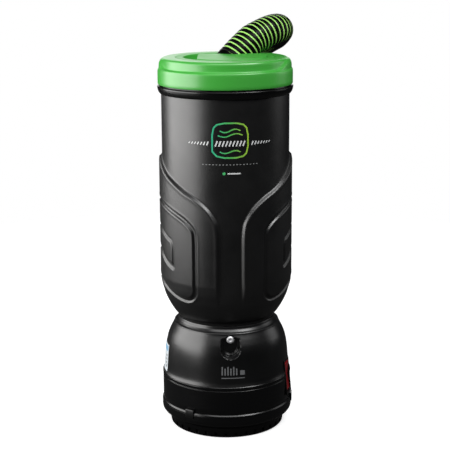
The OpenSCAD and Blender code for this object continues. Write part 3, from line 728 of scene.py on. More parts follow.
rim = lathe("rim_band", [[95.72, 513.6], [97.6, 514.2], [99.6, 517], [100.6, 520], [101.2, 523], [101.2, 524.6], [100.3, 525.6], [98.2, 526.0],
                         [98.0, 527.4], [92.7, 527.4], [92.7, 522], [88, 522], [88, 519], [95.72, 519]],
            [M["trim_black"]], cols=256, radius=[0.3, 1.5, 2, 3, 1.4, 1.0, 0.6, 0.3, 0.2, 0.4, 0.4, 0.4, 0.4, 0.2], longest=3)
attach(rim, "vacuum")
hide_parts("rim_ring")


# ---------------------------------------------------------------- lid
def make_lid():
    cols = 512
    phi = np.linspace(-180, 180, cols, endpoint=False)
    # skirt, ledge, upper wall, top edge: the same points with and without the scoop
    full = [(100.0, 527.8), (100.5, 528.7), (100.5, 533), (100.5, 538), (100.5, 543.5), (100.45, 546.8), (100.2, 548.6), (99.75, 549.8),
            (99.2, 550.5), (98.85, 550.9), (98.7, 551.5), (98.65, 553.2), (98.55, 555.6), (98.3, 557.8), (97.8, 559.9), (97.0, 561.8),
            (95.8, 563.5), (94.3, 564.8), (92.5, 565.7), (90.6, 566.2), (88.6, 566.45), (86.5, 566.5)]
    cut = [(100.0, 527.8), (100.5, 528.7), (100.5, 533), (100.5, 538), (100.5, 543.5), (100.5, 547.4), (100.35, 549.6), (99.9, 550.8),
           (98.9, 551.3), (97.3, 551.5), (95.6, 551.7), (94.95, 552.6), (94.7, 554.6), (94.6, 557.2), (94.5, 559.8), (94.45, 561.6),
           (94.2, 563.2), (93.5, 564.7), (92.4, 565.7), (91.0, 566.25), (89.2, 566.48), (87.0, 566.5)]
    full, cut = np.array(full), np.array(cut)
    zz = full[:, 1]
    up = np.clip((zz - 551.2) / (566.5 - 551.2), 0, 1)
    right, left = 47 + 23 * up, 72 + 20 * up
    S = np.zeros((len(zz), cols))
    for turned in (0, 180):
        b = (phi - turned + 180) % 360 - 180
        S = np.maximum(S, smoothstep((right[:, None] - b[None, :] + 2.0) / 4.0) * smoothstep((b[None, :] + left[:, None] + 5.0) / 10.0))
    F = full[:, None, :] * (1 - S[..., None]) + cut[:, None, :] * S[..., None]
    P = ring_points(F[..., 0], F[..., 1], (phi * RAD)[None, :])
    rest = fillet([[85.5, 566.5], [74.3, 566.5], [74.0, 566.1], [74.0, 535.3], [25.56, 535.3], [25.56, 531.3], [77, 531.3], [77, 563.2], [84, 563.2],
                   [84, 518.4], [80.6, 518.4], [80.6, 515], [84, 511], [87, 511], [87, 563.2], [91, 562], [92, 549], [97.5, 545],
                   [97.5, 527.8]], [0, 0.4, 0.3, 0.5, 0.3, 0.3, 0.5, 1, 1, 0.4, 0.4, 0.4, 0.4, 0.4, 1, 1, 2, 2, 0.3], 3, closed=False)
    rest = resample(rest, 6, closed=False)
    Q = ring_points(rest[:, 0][:, None], rest[:, 1][:, None], (phi * RAD)[None, :])
    P = np.concatenate([P, Q], 0)
    ob = mesh_np("lid_shell", P.reshape(-1, 3), torus_quads(len(P), cols), [M["lid_green"]], sharp=55)
    lugs = []
    for i in range(3):
        a0, n = (10 + 120 * i), 12
        ph = np.linspace(a0, a0 + 20, n) * RAD
        prof = fillet([[86.5, 512.4], [91.4, 512.4], [91.4, 516.6], [86.5, 516.6]], 0.5, 2)
        G = ring_points(prof[:, 0][None, :], prof[:, 1][None, :], ph[:, None])  # phi rows, profile columns
        V = G.reshape(-1, 3)
        k = len(prof)
        q = torus_quads(n, k, close_rows=False)
        caps = [[0, *range(k - 1, 0, -1)], [(n - 1) * k + m for m in range(k)]]
        me = bpy.data.meshes.new("lug")
        me.from_pydata((V * MM).tolist(), [], [list(map(int, f[::1])) for f in q] + [list(map(int, c)) for c in caps])
        me.materials.append(M["lid_green"])
        me.update()
        lugs.append(link(bpy.data.objects.new("lug%d" % i, me)))
    return ob, lugs


lid, lugs = make_lid()
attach(lid, "lid")
replaces(lid, "lid", "lid_deck", "lid_lock_ring")
for o in lugs:
    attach(o, "lid")

# ---------------------------------------------------------------- turret
drum = lathe("turret_drum", [[21, 523], [25.5, 523], [25.5, 523.6], [24.2, 524], [24.2, 526.1], [25.5, 526.5], [25.5, 535.8],
                             [73.4, 535.8], [73.4, 566.1], [73.0, 566.5], [62.9, 566.5], [61.9, 565.5], [61.9, 555.6], [59.6, 553.2],
                             [12, 553.2], [12, 550.4], [70.5, 550.4], [70.5, 538.2], [21, 538.2]],
             [BOWL_GREEN], cols=256, radius=[0.3, 0.3, 0.2, 0.2, 0.2, 0.2, 0.5, 0.6, 0.3, 0.3, 1.2, 1.2, 2.5, 2.5, 0.5, 0.5, 1, 1, 0.4], longest=4)



def make_visor():
    """The hood over the front of the bowl: its outline is the bowl's arc and two straight sides, with a rounded corner."""
    turn = -4.0
    r = 61.75
    x0, y1 = -41.0, 17.0
    # in the turned frame; the arc runs from the left side round the front to the right
    a_left = math.atan2(-math.sqrt(r * r - x0 * x0), x0)
    a_right = math.asin(y1 / r)
    arc = [(r * math.cos(t), r * math.sin(t)) for t in np.linspace(a_left, a_right, 60)]
    outline = arc + [(x0 + 9, y1)]
    # the rounded corner
    for k in range(1, 9):
        t = math.pi / 2 + (math.pi / 2) * k / 8
        outline.append((x0 + 9 + 9 * math.cos(t), y1 - 9 + 9 * math.sin(t)))
    base = resample(np.array(outline), 3.0)
    ctr = base.mean(0)

    def top(y):
        return 566.75 + (569.6 - 566.75) * np.clip((y + 62) / (17 + 62), -0.1, 1)

    n = len(base)
    # inward normals of the outline
    nxt, prv = np.roll(base, -1, 0), np.roll(base, 1, 0)
    tang = nxt - prv
    tang /= np.linalg.norm(tang, axis=1)[:, None]
    inw = np.stack([-tang[:, 1], tang[:, 0]], -1)
    # less of an inset near the sharp corner, so that the top doesn't fold there
    tip = np.array([r * math.cos(a_right), y1])
    ease = np.clip(np.linalg.norm(base - tip, axis=1) / 11.0, 0.12, 1)[:, None]
    rows = []
    for off, drop, z in ((0.0, None, 552.6), (0.0, 6.0, None), (0.0, 2.2, None), (0.35, 1.0, None), (1.1, 0.3, None), (2.2, 0.0, None), (5.0, 0.0, None)):
        p = base + inw * off * ease
        zz = np.full(n, z) if z is not None else top(p[:, 1]) - drop
        rows.append(np.column_stack([p, zz]))
    for f in (0.75, 0.5, 0.25):
        q = ctr + (rows[6][:, :2] - ctr) * f
        rows.append(np.column_stack([q, top(q[:, 1])]))
    V = np.concatenate(rows, 0)
    quads = torus_quads(len(rows), n, close_rows=False)
    c_top, c_bot = len(V), len(V) + 1
    V = np.concatenate([V, [[ctr[0], ctr[1], float(top(ctr[1]))], [ctr[0], ctr[1], 552.6]]], 0)
    last = (len(rows) - 1) * n
    tris = [[last + i, last + (i + 1) % n, c_top] for i in range(n)] + [[(i + 1) % n, i, c_bot] for i in range(n)]
    c, s = math.cos(turn * RAD), math.sin(turn * RAD)
    V[:, :2] = V[:, :2] @ np.array([[c, -s], [s, c]]).T
    return mesh_np("turret_visor", V, quads, [BOWL_GREEN], tris=tris, sharp=45)


visor = make_visor()


def oblique_collar():
    """The round socket that holds the hose's root, cut level with the turret's rim."""
    p0 = np.array(ROUTE[0], float)
    d = np.array(ROUTE[1], float) - p0
    d /= np.linalg.norm(d)
    u = np.cross(d, [0, 0, 1.0])
    u /= np.linalg.norm(u)
    v = np.cross(u, d)
    n = 96
    th = np.arange(n) * 2 * math.pi / n
    rows = []
    for rad_, zz in ((26.6, 552.9), (26.6, 560), (26.6, 565.2), (26.3, 565.8), (25.6, 566.1), (24.9, 566.0), (24.4, 565.4), (24.2, 560), (24.2, 552.9)):
        ring = p0 + rad_ * (np.cos(th)[:, None] * u + np.sin(th)[:, None] * v)
        t = (zz - ring[:, 2]) / d[2]
        q = ring + t[:, None] * d
        # held inside the bowl's wall
        rr = np.hypot(q[:, 0], q[:, 1])
        q[:, :2] *= np.minimum(1, 61.2 / rr)[:, None]
        rows.append(q)
    V = np.concatenate(rows, 0)
    return mesh_np("turret_socket", V, torus_quads(len(rows), n)[:, ::-1], [BOWL_GREEN], sharp=45)


collar = oblique_collar()
ROOT = Vector(ROUTE[1]) - Vector(ROUTE[0])
ROOT_AXIS = Matrix.Translation(Vector(ROUTE[0])) @ ROOT.to_track_quat("Z", "Y").to_matrix().to_4x4()
root_ring = lathe("hose_root_ring", [[21.4, -1.0], [24.1, -1.0], [24.3, 0.0], [24.3, 6.4], [23.9, 7.5], [21.4, 7.5]], [M["hose_black"]], cols=96,
                  radius=0.4, longest=3, axis=ROOT_AXIS)
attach(root_ring, "turret")
replaces(drum, "swivel_turret", "turret_stem")
replaces(visor, "turret_visor")
replaces(collar, "turret_bowl")
for o in (drum, visor, collar):
    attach(o, "turret")


# ---------------------------------------------------------------- hose end
END = np.array([24, 710, 24], float)
Y_AXIS = Matrix.Translation(Vector(END)) @ Matrix.Rotation(-90 * RAD, 4, "X")
fit = lathe("hose_end_socket", [[19.4, 0.2], [23.4, 0.2], [24.0, 0.9], [24.0, 3.4], [23.3, 4.2], [23.3, 7.6], [24.0, 8.4], [24.0, 11.2], [23.4, 12.0],
                                [21.5, 12.0], [21.5, 30], [19.4, 30]], [M["cuff_black"]], cols=96, radius=0.4, longest=3, axis=Y_AXIS)
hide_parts("hose_end_fitting")
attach(fit, "turret")


def make_cuff():
    zs = np.concatenate([[12.5, 12.8, 13.4], np.arange(15, 30, 1.0), [30.5, 31.4, 32.4, 34, 40, 48, 56, 64, 70, 71, 72, 73.5, 75, 76.6, 77.5, 78.0]])
    cols = 144
    phi = np.arange(cols) * 2 * math.pi / cols
    R = np.full((len(zs), cols), 23.7)
    for i, zc in enumerate(zs):
        if zc < 13.4:
            R[i] = 23.0 if zc < 12.7 else 23.5
        elif 15 < zc < 30:
            R[i] = 23.55 + 0.42 * np.tanh(3 * np.cos(phi * 36))  # finger grips
        elif 32 < zc < 70:
            R[i] = 23.4 - 0.012 * (zc - 32)
        elif zc >= 70:
            R[i] = 23.9 if zc < 77 else (23.6 if zc < 77.8 else 22.8)
    P = ring_points(R, zs[:, None], phi[None, :])
    inner = np.array([[19.4, 78.0], [19.1, 77.4], [19.1, 60], [19.1, 32.2], [21.56, 32.0], [21.56, 20], [21.56, 12.5]])
    Q = ring_points(inner[:, 0][:, None], inner[:, 1][:, None], phi[None, :])
    P = np.concatenate([P, Q], 0)
    V = P.reshape(-1, 3) @ np.array(Y_AXIS.to_3x3()).T + np.array(Y_AXIS.translation)
    return mesh_np("hose_end_sleeve", V, torus_quads(len(P), cols), [M["cuff_black"]], sharp=50)


cuff = make_cuff()
# the hole that the wand's spring button snaps into: on local -Y at z 60, which is up (+Z) in the row
hole = lathe("hole_cut", [[0.01, -6], [4.2, -6], [4.2, 12], [0.01, 12]], [], cols=48, radius=0, longest=20,
             at=(24, 710 + 60, 24 + 18))
boolean(cuff, hole)
cuff.data.set_sharp_from_angle(angle=50 * RAD)
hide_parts("hose_end_cuff")
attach(cuff, "end_cuff")


# ---------------------------------------------------------------- decals on the front
def shell_strip(name, line, width, mat, r=95.7, z_of=None, closed=False, thick=0.14):
    """A thin printed strip on the shell: line in (u, z) millimetres, u along the surface from the front."""
    p = resample(np.array(line, float), 1.2, closed=closed)
    n = len(p)
    if closed:
        t = np.roll(p, -1, 0) - np.roll(p, 1, 0)
    else:
        t = np.gradient(p, axis=0)
    t /= np.linalg.norm(t, axis=1)[:, None]
    nrm = np.stack([-t[:, 1], t[:, 0]], -1)
    w = width(np.linspace(0, 1, n))[:, None] if callable(width) else width
    L, Rr = p + nrm * w / 2, p - nrm * w / 2
    rows = []
    for q, rad_ in ((L, r - 0.3), (L, r + thick), (Rr, r + thick), (Rr, r - 0.3)):
        ang = q[:, 0] / 95.7
        rows.append(np.column_stack([rad_ * np.sin(ang), -rad_ * np.cos(ang), q[:, 1]]))
    G = np.stack(rows, 1)  # n, 4, 3
    V = G.reshape(-1, 3)
    q = torus_quads(n, 4, close_rows=closed)
    faces = [list(map(int, f)) for f in q]
    if not closed:
        faces += [[3, 2, 1, 0], [(n - 1) * 4 + k for k in range(4)]]
    me = bpy.data.meshes.new(name)
    me.from_pydata((V * MM).tolist(), [], faces)
    me.materials.append(mat)
    me.update()
    ob = link(bpy.data.objects.new(name, me))
    bm_fix(ob)
    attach(ob, "vacuum")
    return ob


def bm_fix(ob):
    """Makes the faces look outward."""
    import bmesh
    bm = bmesh.new()
    bm.from_mesh(ob.data)
    bmesh.ops.recalc_face_normals(bm, faces=bm.faces)
    bm.to_mesh(ob.data)
    bm.free()


def shell_patch(name, outline, mat, r=95.7, thick=0.14, step=1.4):
    """A thin printed patch with a convex outline in (u, z)."""
    p = resample(np.array(outline, float), step)
    n = len(p)
    c = p.mean(0)
    rows = []
    for f in (0.0, 0.35, 0.7, 1.0):
        q = c + (p - c) * f
        rows.append((q, r + thick))
    rows.append((p, r - 0.3))
    V = []
    for q, rad_ in rows[1:]:
        ang = q[:, 0] / 95.7
        V.append(np.column_stack([rad_ * np.sin(ang), -rad_ * np.cos(ang), q[:, 1]]))
    V = np.concatenate(V, 0)
    ang = c[0] / 95.7
    tip = [(r + thick) * math.sin(ang), -(r + thick) * math.cos(ang), c[1]]
    bot = [(r - 0.3) * math.sin(ang), -(r - 0.3) * math.cos(ang), c[1]]
    V = np.concatenate([V, [tip, bot]], 0)
    q = torus_quads(4, n, close_rows=False).tolist()
    t = len(V) - 2
    faces = [list(map(int, f)) for f in q] + [[i, (i + 1) % n, t][::-1] for i in range(n)] + [[3 * n + i, 3 * n + (i + 1) % n, t + 1] for i in range(n)]
    me = bpy.data.meshes.new(name)
    me.from_pydata((V * MM).tolist(), [], faces)
    me.materials.append(mat)
    me.update()
    ob = link(bpy.data.objects.new(name, me))
    bm_fix(ob)
    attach(ob, "vacuum")
    return ob


def hexagon(w, z0, z1, cut):
    return [(-w, z0 + cut), (-w, z1 - cut), (-w + cut, z1), (w - cut, z1), (w, z1 - cut), (w, z0 + cut), (w - cut, z0), (-w + cut, z0)]


# a plain airflow badge: an eight-sided frame with rising air lines, and a row of slanted ticks
badge = rounded_line(hexagon(26, 431, 481, 9) + [(-26, 440)], times=1)
strips = [shell_strip("badge_frame", badge[:-1], 2.3, DECAL_GREEN, closed=True)]
for k, (zc, amp, half) in enumerate(((470, 2.4, 15), (463.5, 2.4, 18), (439.5, 2.0, 15))):
    u = np.linspace(-half, half, 28)
    strips.append(shell_strip("badge_wave_%d" % k, np.column_stack([u, zc + amp * np.sin(u / half * math.pi)]), 1.7, DECAL_GREEN))
tick = 0
for side in (-1, 1):
    for i in range(7):
        u0 = side * (33 + i * 4.8)
        h = 5.6 - 0.55 * i
        strips.append(shell_strip("badge_tick_%d" % tick, [(u0 - 1.2, 451.5 - h / 2), (u0 + 1.2, 451.5 + h / 2)], 1.9 - 0.12 * i, DECAL_WHITE))
        tick += 1
for i in range(9):
    u0 = -20 + i * 5.0
    strips.append(shell_strip("badge_bar_%d" % i, [(u0 - 1.5, 447.6), (u0 + 1.5, 455.4)], 2.0, DECAL_WHITE))
for i in range(17):
    u0 = -40 + i * 5.0
    strips.append(shell_strip("badge_rule_%d" % i, [(u0 - 1.1, 421.0), (u0 + 1.1, 421.0)], 1.1, DECAL_GREY))
strips.append(shell_patch("badge_dot", [(-9 + 2.2 * math.cos(t), 408 + 2.2 * math.sin(t)) for t in np.arange(16) * math.pi / 8], DECAL_GREEN))
strips.append(shell_strip("badge_dash", [(-4, 408), (15, 408)], 1.9, DECAL_WHITE))

# ---------------------------------------------------------------- CAD nodes that stay
def finish_node(name, mat, angle=35, bevel=0.0, seg=2):
    o = nodes.get(name)
    if o is None:
        return
    o.data.materials.clear()
    o.data.materials.append(mat)
    o.data.polygons.foreach_set("use_smooth", np.ones(len(o.data.polygons), bool))
    if bevel:
        w = o.modifiers.new("weld", "WELD")
        w.merge_threshold = 1e-6
        b = o.modifiers.new("edge", "BEVEL")
        b.width = bevel * MM
        b.segments = seg
        b.limit_method = "ANGLE"
        b.angle_limit = 35 * RAD
    o.data.set_sharp_from_angle(angle=angle * RAD)
    o.data.update()


slot_of = {}
for s in frame["record"].get("subparts", []):
    slot_of[s["node"]] = s["material_slot"]
for name in nodes:
    finish_node(name, M.get(slot_of.get(name), M["housing_black"]))
finish_node("dome_screw", SCREW)
finish_node("base_clips", M["housing_black"], bevel=0.8)
finish_node("filter_cap", M["housing_black"])

# ---------------------------------------------------------------- switch and label
def tilted_copy(name, node, mat, tilt, body, bevel, room=0.0):
    """The switch follows the housing's slope: a copy of the CAD piece leaned in at its top, with soft edges."""
    src = nodes[node]
    me = src.data.copy()
    ob = link(bpy.data.objects.new(name, me))
    co = np.empty(len(me.vertices) * 3)
    me.vertices.foreach_get("co", co)
    co = co.reshape(-1, 3) / MM
    c, s = math.cos(-70 * RAD), math.sin(-70 * RAD)
    loc = co @ np.array([[c, -s, 0], [s, c, 0], [0, 0, 1]]).T
    if room:  # a little shorter and with a wider bore, so that it tips clear of the frame and its pin
        by, bz = loc[:, 1] + 93.0, loc[:, 2] - 77.6
        bore = np.hypot(by, bz) < 1.8
        loc[bore, 1], loc[bore, 2] = -93.0 + by[bore] * 1.5, 77.6 + bz[bore] * 1.5
        zc, half = (loc[:, 2].max() + loc[:, 2].min()) / 2, (loc[:, 2].max() - loc[:, 2].min()) / 2
        loc[:, 2] = zc + (loc[:, 2] - zc) * (half - room) / half
    y0, z0 = -99.7, 50.0
    ct, st = math.cos(tilt * RAD), math.sin(tilt * RAD)
    dy, dz = loc[:, 1] - y0, loc[:, 2] - z0
    loc[:, 1], loc[:, 2] = y0 + dy * ct + dz * st, z0 - dy * st + dz * ct
    co = loc @ np.array([[c, s, 0], [-s, c, 0], [0, 0, 1]]).T
    me.vertices.foreach_set("co", (co * MM).ravel())
    me.materials.clear()
    me.materials.append(mat)
    me.polygons.foreach_set("use_smooth", np.ones(len(me.polygons), bool))
    me.polygons.foreach_set("material_index", np.zeros(len(me.polygons), np.int32))
    w = ob.modifiers.new("weld", "WELD")
    w.merge_threshold = 1e-6
    b = ob.modifiers.new("edge", "BEVEL")
    b.width = bevel * MM
    b.segments = 3
    b.limit_method = "ANGLE"
    b.angle_limit = 35 * RAD
    apply_all(ob)
    ob.data.set_sharp_from_angle(angle=40 * RAD)
    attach(ob, body)
    replaces(ob, node)
    return ob


tilted_copy("switch_lever", "power_rocker", M["switch_red"], 5.4, "rocker", 0.6, room=0.7)
tilted_copy("switch_frame", "switch_bezel", M["trim_black"], 5.4, "vacuum", 0.5)


def dome_patch(name, phi0, phi1, z0, z1, off, mat, nphi=40, nz=24, corner=0.0):
    """A thin printed sheet on the dome, following its wall."""
    zs = np.linspace(z0, z1, nz)
    rs = pchip([84.05, 85.6, 88, 92, 98, 104, 111, 118.5, 126.5, 134.5, 143], [98.5, 97.9, 97.0, 96.3, 95.8, 95.4, 94.9, 94.2, 93.2, 91.7, 89.2], zs)
    ph = np.linspace(phi0, phi1, nphi)
    top = ring_points((rs + off)[:, None], zs[:, None], (ph * RAD)[None, :])
    low = ring_points((rs - 0.4)[:, None], zs[:, None], (ph * RAD)[None, :])
    V = np.concatenate([top.reshape(-1, 3), low.reshape(-1, 3)])
    n = nz * nphi
    q = []
    for i in range(nz - 1):
        for j in range(nphi - 1):
            a, b, c, d = i * nphi + j, i * nphi + j + 1, (i + 1) * nphi + j + 1, (i + 1) * nphi + j
            q += [[a, b, c, d], [n + d, n + c, n + b, n + a]]
    rim_ = [i for i in range(nphi)] + [i * nphi + nphi - 1 for i in range(1, nz)] + [(nz - 1) * nphi + j for j in range(nphi - 2, -1, -1)] + [i * nphi for i in range(nz - 2, 0, -1)]
    for a, b in zip(rim_, rim_[1:] + rim_[:1]):
        q.append([b, a, n + a, n + b])
    me = bpy.data.meshes.new(name)
    me.from_pydata((V * MM).tolist(), [], q)
    me.materials.append(mat)
    me.polygons.foreach_set("use_smooth", np.ones(len(me.polygons), bool))
    me.update()
    me.set_sharp_from_angle(angle=40 * RAD)
    ob = link(bpy.data.objects.new(name, me))
    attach(ob, "vacuum")
    return ob


label = dome_patch("rating_sheet", -114, -75, 87, 128, 0.22, M["label_white"])
replaces(label, "rating_label")
dome_patch("rating_band", -112.5, -76.5, 118, 125.5, 0.30, DECAL_BLUE, nz=6)
for k, zz in enumerate((113.5, 109.5, 105.5, 101.5, 97.5, 93.5)):
    dome_patch("rating_rule_%d" % k, -112, -92 + (6 if k % 2 else 0), zz - 0.35, zz + 0.35, 0.28, DECAL_GREY, nz=2)
for k in range(4):
    dome_patch("rating_cell_%d" % k, -82 + 0.0, -77.5, 92 + 5.6 * k, 95.4 + 5.6 * k, 0.28, DECAL_GREY, nphi=8, nz=3)

# a small moulded pleat mark in front, over the filter ring
for k in range(6):
    dome_patch("pleat_mark_%d" % k, -8.6 + k * 2.6, -7.4 + k * 2.6, 102.5, 115.5 - (2.6 if k % 2 else 0), 0.30, M["pleat_grey"], nphi=4, nz=8)
dome_patch("pleat_rule", -8.6, 12.4, 97.4, 98.7, 0.30, M["pleat_grey"], nphi=20, nz=2)
dome_patch("pleat_dot", 8.2, 12.4, 102.5, 109.5, 0.30, M["pleat_grey"], nphi=6, nz=6)

# ---------------------------------------------------------------- harness
def sweep(name, pts, section, mats, closed=False, up=None, twist=None):
    """A closed section (k, 2) carried along points in mm; section may be (n, k, 2). up is the first section axis."""
    pts = np.asarray(pts, float)
    n = len(pts)
    if closed:
        t = np.roll(pts, -1, 0) - np.roll(pts, 1, 0)
    else:
        t = np.gradient(pts, axis=0)
    t /= np.linalg.norm(t, axis=1)[:, None]
    u = np.broadcast_to(np.asarray(up, float), pts.shape)
    u = u - t * (u * t).sum(1)[:, None]
    u /= np.linalg.norm(u, axis=1)[:, None]
    v = np.cross(t, u)
    sec = np.broadcast_to(section, (n,) + np.shape(section)[-2:])
    P = pts[:, None, :] + sec[..., :1] * u[:, None, :] + sec[..., 1:] * v[:, None, :]
    k = sec.shape[1]
    faces = [list(map(int, f)) for f in torus_quads(n, k, close_rows=closed)]
    if not closed:
        faces += [list(range(k - 1, -1, -1)), [(n - 1) * k + m for m in range(k)]]
    me = bpy.data.meshes.new(name)
    me.from_pydata((P.reshape(-1, 3) * MM).tolist(), [], faces)
    for m in mats:
        me.materials.append(m)
    me.polygons.foreach_set("use_smooth", np.ones(len(me.polygons), bool))
    me.update()
    ob = link(bpy.data.objects.new(name, me))
    bm_fix(ob)
    ob.data.set_sharp_from_angle(angle=55 * RAD)
    return ob


def round_section(r, k=10, flat=1.0):
    a = np.arange(k) * 2 * math.pi / k
    return np.column_stack([r * np.cos(a), r * flat * np.sin(a)])


def stitch_row(name, pts, normals, mat, long=3.1, gap=1.5, wide=0.85, high=0.35):
    """Thread: a row of short rounded bars along a line that lies on the cloth."""
    pts, normals = np.asarray(pts, float), np.asarray(normals, float)
    d = np.concatenate([[0], np.cumsum(np.linalg.norm(np.diff(pts, axis=0), axis=1))])
    V, F = [], []
    s = gap
    while s + long < d[-1]:
        q = [np.array([np.interp(v, d, pts[:, c]) for c in range(3)]) for v in (s, s + long / 2, s + long)]
        nn = np.array([np.interp(s + long / 2, d, normals[:, c]) for c in range(3)])
        nn /= np.linalg.norm(nn)
        t = q[2] - q[0]
        t /= np.linalg.norm(t)
        w = np.cross(nn, t)
        b = len(V)
        for p, ww, hh in ((q[0], 0.5, 0.0), (q[0] + t * 0.5, 1.0, 1.0), (q[2] - t * 0.5, 1.0, 1.0), (q[2], 0.5, 0.0)):
            for a_, h_ in ((-1, -0.8), (-0.7, 0.75), (0, 1.0), (0.7, 0.75), (1, -0.8)):
                V.append(p + w * (a_ * wide / 2 * ww) + nn * (high * (h_ if h_ < 0 else h_ * hh)))
        for i in range(3):
            for j in range(5):
                F.append([b + i * 5 + j, b + i * 5 + (j + 1) % 5, b + (i + 1) * 5 + (j + 1) % 5, b + (i + 1) * 5 + j])
        F += [[b + 4, b + 3, b + 2, b + 1, b], [b + 15, b + 16, b + 17, b + 18, b + 19]]
        s += long + gap
    me = bpy.data.meshes.new(name)
    me.from_pydata((np.array(V) * MM).tolist(), [], F)
    me.materials.append(mat)
    me.update()
    ob = link(bpy.data.objects.new(name, me))
    bm_fix(ob)
    return ob


def pulled(x, z, w, z0, z1):
    """The sides drawn in between the corners."""
    zc, h = (z0 + z1) / 2, (z1 - z0) / 2
    u, v = np.clip(np.abs(x) / w, 0, 1.1), np.clip(np.abs(z - zc) / h, 0, 1.1)
    return x * (1 - 0.028 * (1 - v * v)), zc + (z - zc) * (1 - 0.045 * (1 - u * u))


def soft_pad(name, node, w, z0, z1, channels, back=111.7, front=127.5, corner=18.0, cap=7.0, deep=3.6):
    """A padded cushion on the back frame: swelled as cloth, then sewn along its channels and bound round its edge."""
    from mathutils.bvhtree import BVHTree
    out = resample(fillet([(-w, z0), (w, z0), (w, z1), (-w, z1)], corner, 10), 6.0)
    x, z = pulled(out[:, 0], out[:, 1], w, z0, z1)
    n = len(out)
    V = np.concatenate([np.column_stack([x, np.full(n, back), z]), np.column_stack([x, np.full(n, front), z])])
    faces = [list(range(n)), list(range(2 * n - 1, n - 1, -1))] + [[i, (i + 1) % n, n + (i + 1) % n, n + i] for i in range(n)]
    me = bpy.data.meshes.new(name)
    me.from_pydata((V * MM).tolist(), [], faces)
    me.materials.append(M["pad_fabric"])
    me.update()
    ob = link(bpy.data.objects.new(name, me))
    bm_fix(ob)
    r = ob.modifiers.new("remesh", "REMESH")
    r.mode = "VOXEL"
    r.voxel_size = 0.0045
    apply_all(ob)

    def co_of(mesh):
        c = np.empty(len(mesh.vertices) * 3)
        mesh.vertices.foreach_get("co", c)
        return c.reshape(-1, 3) / MM

    start = co_of(ob.data)
    c = ob.modifiers.new("cloth", "CLOTH")
    c.settings.quality = 5
    c.settings.use_pressure = True
    c.settings.uniform_pressure_force = 4.0
    c.settings.effector_weights.gravity = 0.0
    c.point_cache.frame_start = 1
    c.point_cache.frame_end = 20
    for f in range(1, 21):
        scene.frame_set(f)
    dg = bpy.context.evaluated_depsgraph_get()
    got = bpy.data.meshes.new_from_object(ob.evaluated_get(dg))
    end = co_of(got)
    bpy.data.meshes.remove(got)
    ob.modifiers.clear()
    scene.frame_set(1)
    move = end - start
    far = np.linalg.norm(move, axis=1)
    end = start + move * np.minimum(1, cap / np.maximum(far, 1e-9))[:, None]
    end[:, 1] = np.maximum(end[:, 1], 111.35)  # flat where it lies on the frame
    ob.data.vertices.foreach_set("co", (end * MM).ravel())
    ob.data.update()
    s = ob.modifiers.new("sub", "SUBSURF")
    s.levels = s.render_levels = 2
    apply_all(ob)
    # the channels and the border seam draw the face in
    P = co_of(ob.data)
    face = smoothstep((P[:, 1] - (back + front) / 2) / 5.0)
    dist = np.full(len(P), 1e9)
    for line in channels:
        dist = np.minimum(dist, seg_dist(P[:, 0], P[:, 2], line))
    border = resample(fillet([(-w + 10, z0 + 10), (w - 10, z0 + 10), (w - 10, z1 - 10), (-w + 10, z1 - 10)], corner - 6, 8), 3.0)
    bx, bz = pulled(border[:, 0], border[:, 1], w, z0, z1)
    ring = [tuple(p) for p in np.column_stack([bx, bz])]
    bd = seg_dist(P[:, 0], P[:, 2], ring + ring[:1])
    P[:, 1] -= face * (deep * np.exp(-(dist / 2.9) ** 2) + 0.55 * deep * np.exp(-(bd / 2.4) ** 2))
    # small puckers across the seams
    arc = np.sin(P[:, 0] * 1.35 + 0.6 * np.sin(P[:, 2] * 0.31)) * np.sin(P[:, 2] * 1.25 + 0.5 * np.sin(P[:, 0] * 0.27))
    P[:, 1] += face * 0.22 * arc * (np.exp(-((dist - 4.2) / 2.6) ** 2) + np.exp(-((bd - 3.6) / 2.4) ** 2))
    P[:, 1] = np.maximum(P[:, 1], 111.3)
    ob.data.vertices.foreach_set("co", (P * MM).ravel())
    ob.data.polygons.foreach_set("use_smooth", np.ones(len(ob.data.polygons), bool))
    ob.data.update()
    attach(ob, "vacuum")
    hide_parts(node)
    tree = BVHTree.FromPolygons([tuple(v) for v in P], [tuple(p.vertices) for p in ob.data.polygons])

    def on_face(xx, zz):
        hit = tree.ray_cast(Vector((xx, 200, zz)), Vector((0, -1, 0)))
        return (np.array(hit[0]), np.array(hit[1])) if hit[0] is not None else (np.array([xx, front, zz]), np.array([0, 1.0, 0]))

    # the binding, half sunk in the edge
    edge = resample(fillet([(-w, z0), (w, z0), (w, z1), (-w, z1)], corner, 12), 3.0)
    ex, ez = pulled(edge[:, 0], edge[:, 1], w, z0, z1)
    edge = np.column_stack([ex, ez])
    tang = np.roll(edge, -1, 0) - np.roll(edge, 1, 0)
    tang /= np.linalg.norm(tang, axis=1)[:, None]
    nrm = np.column_stack([tang[:, 1], -tang[:, 0]])
    for tag, yy, rad_ in (("front", 125.2, 2.1), ("back", 114.6, 1.8)):
        line = []
        for p, m in zip(edge, nrm):
            o = p + m * 25
            hit = tree.ray_cast(Vector((o[0], yy, o[1])), Vector((-m[0], 0, -m[1])))
            q = np.array(hit[0]) if hit[0] is not None else np.array([p[0], yy, p[1]])
            line.append(q + np.array([m[0], 0, m[1]]) * 0.5)
        line = np.array(line)
        for _ in range(3):
            line = (np.roll(line, 1, 0) + 2 * line + np.roll(line, -1, 0)) / 4
        pipe = sweep(name + "_binding_" + tag, line, round_section(rad_), [BINDING], closed=True, up=(0, 1, 0))
        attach(pipe, "vacuum")
    # thread along the channels and the border
    for k, line in enumerate(list(channels) + [ring + ring[:1]]):
        pl = resample(np.array(line, float), 2.5, closed=False)
        got = [on_face(*p) for p in pl]
        st = stitch_row("%s_stitch_%d" % (name, k), [g[0] + g[1] * 0.12 for g in got], [g[1] for g in got], THREAD)
        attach(st, "vacuum")
    return ob


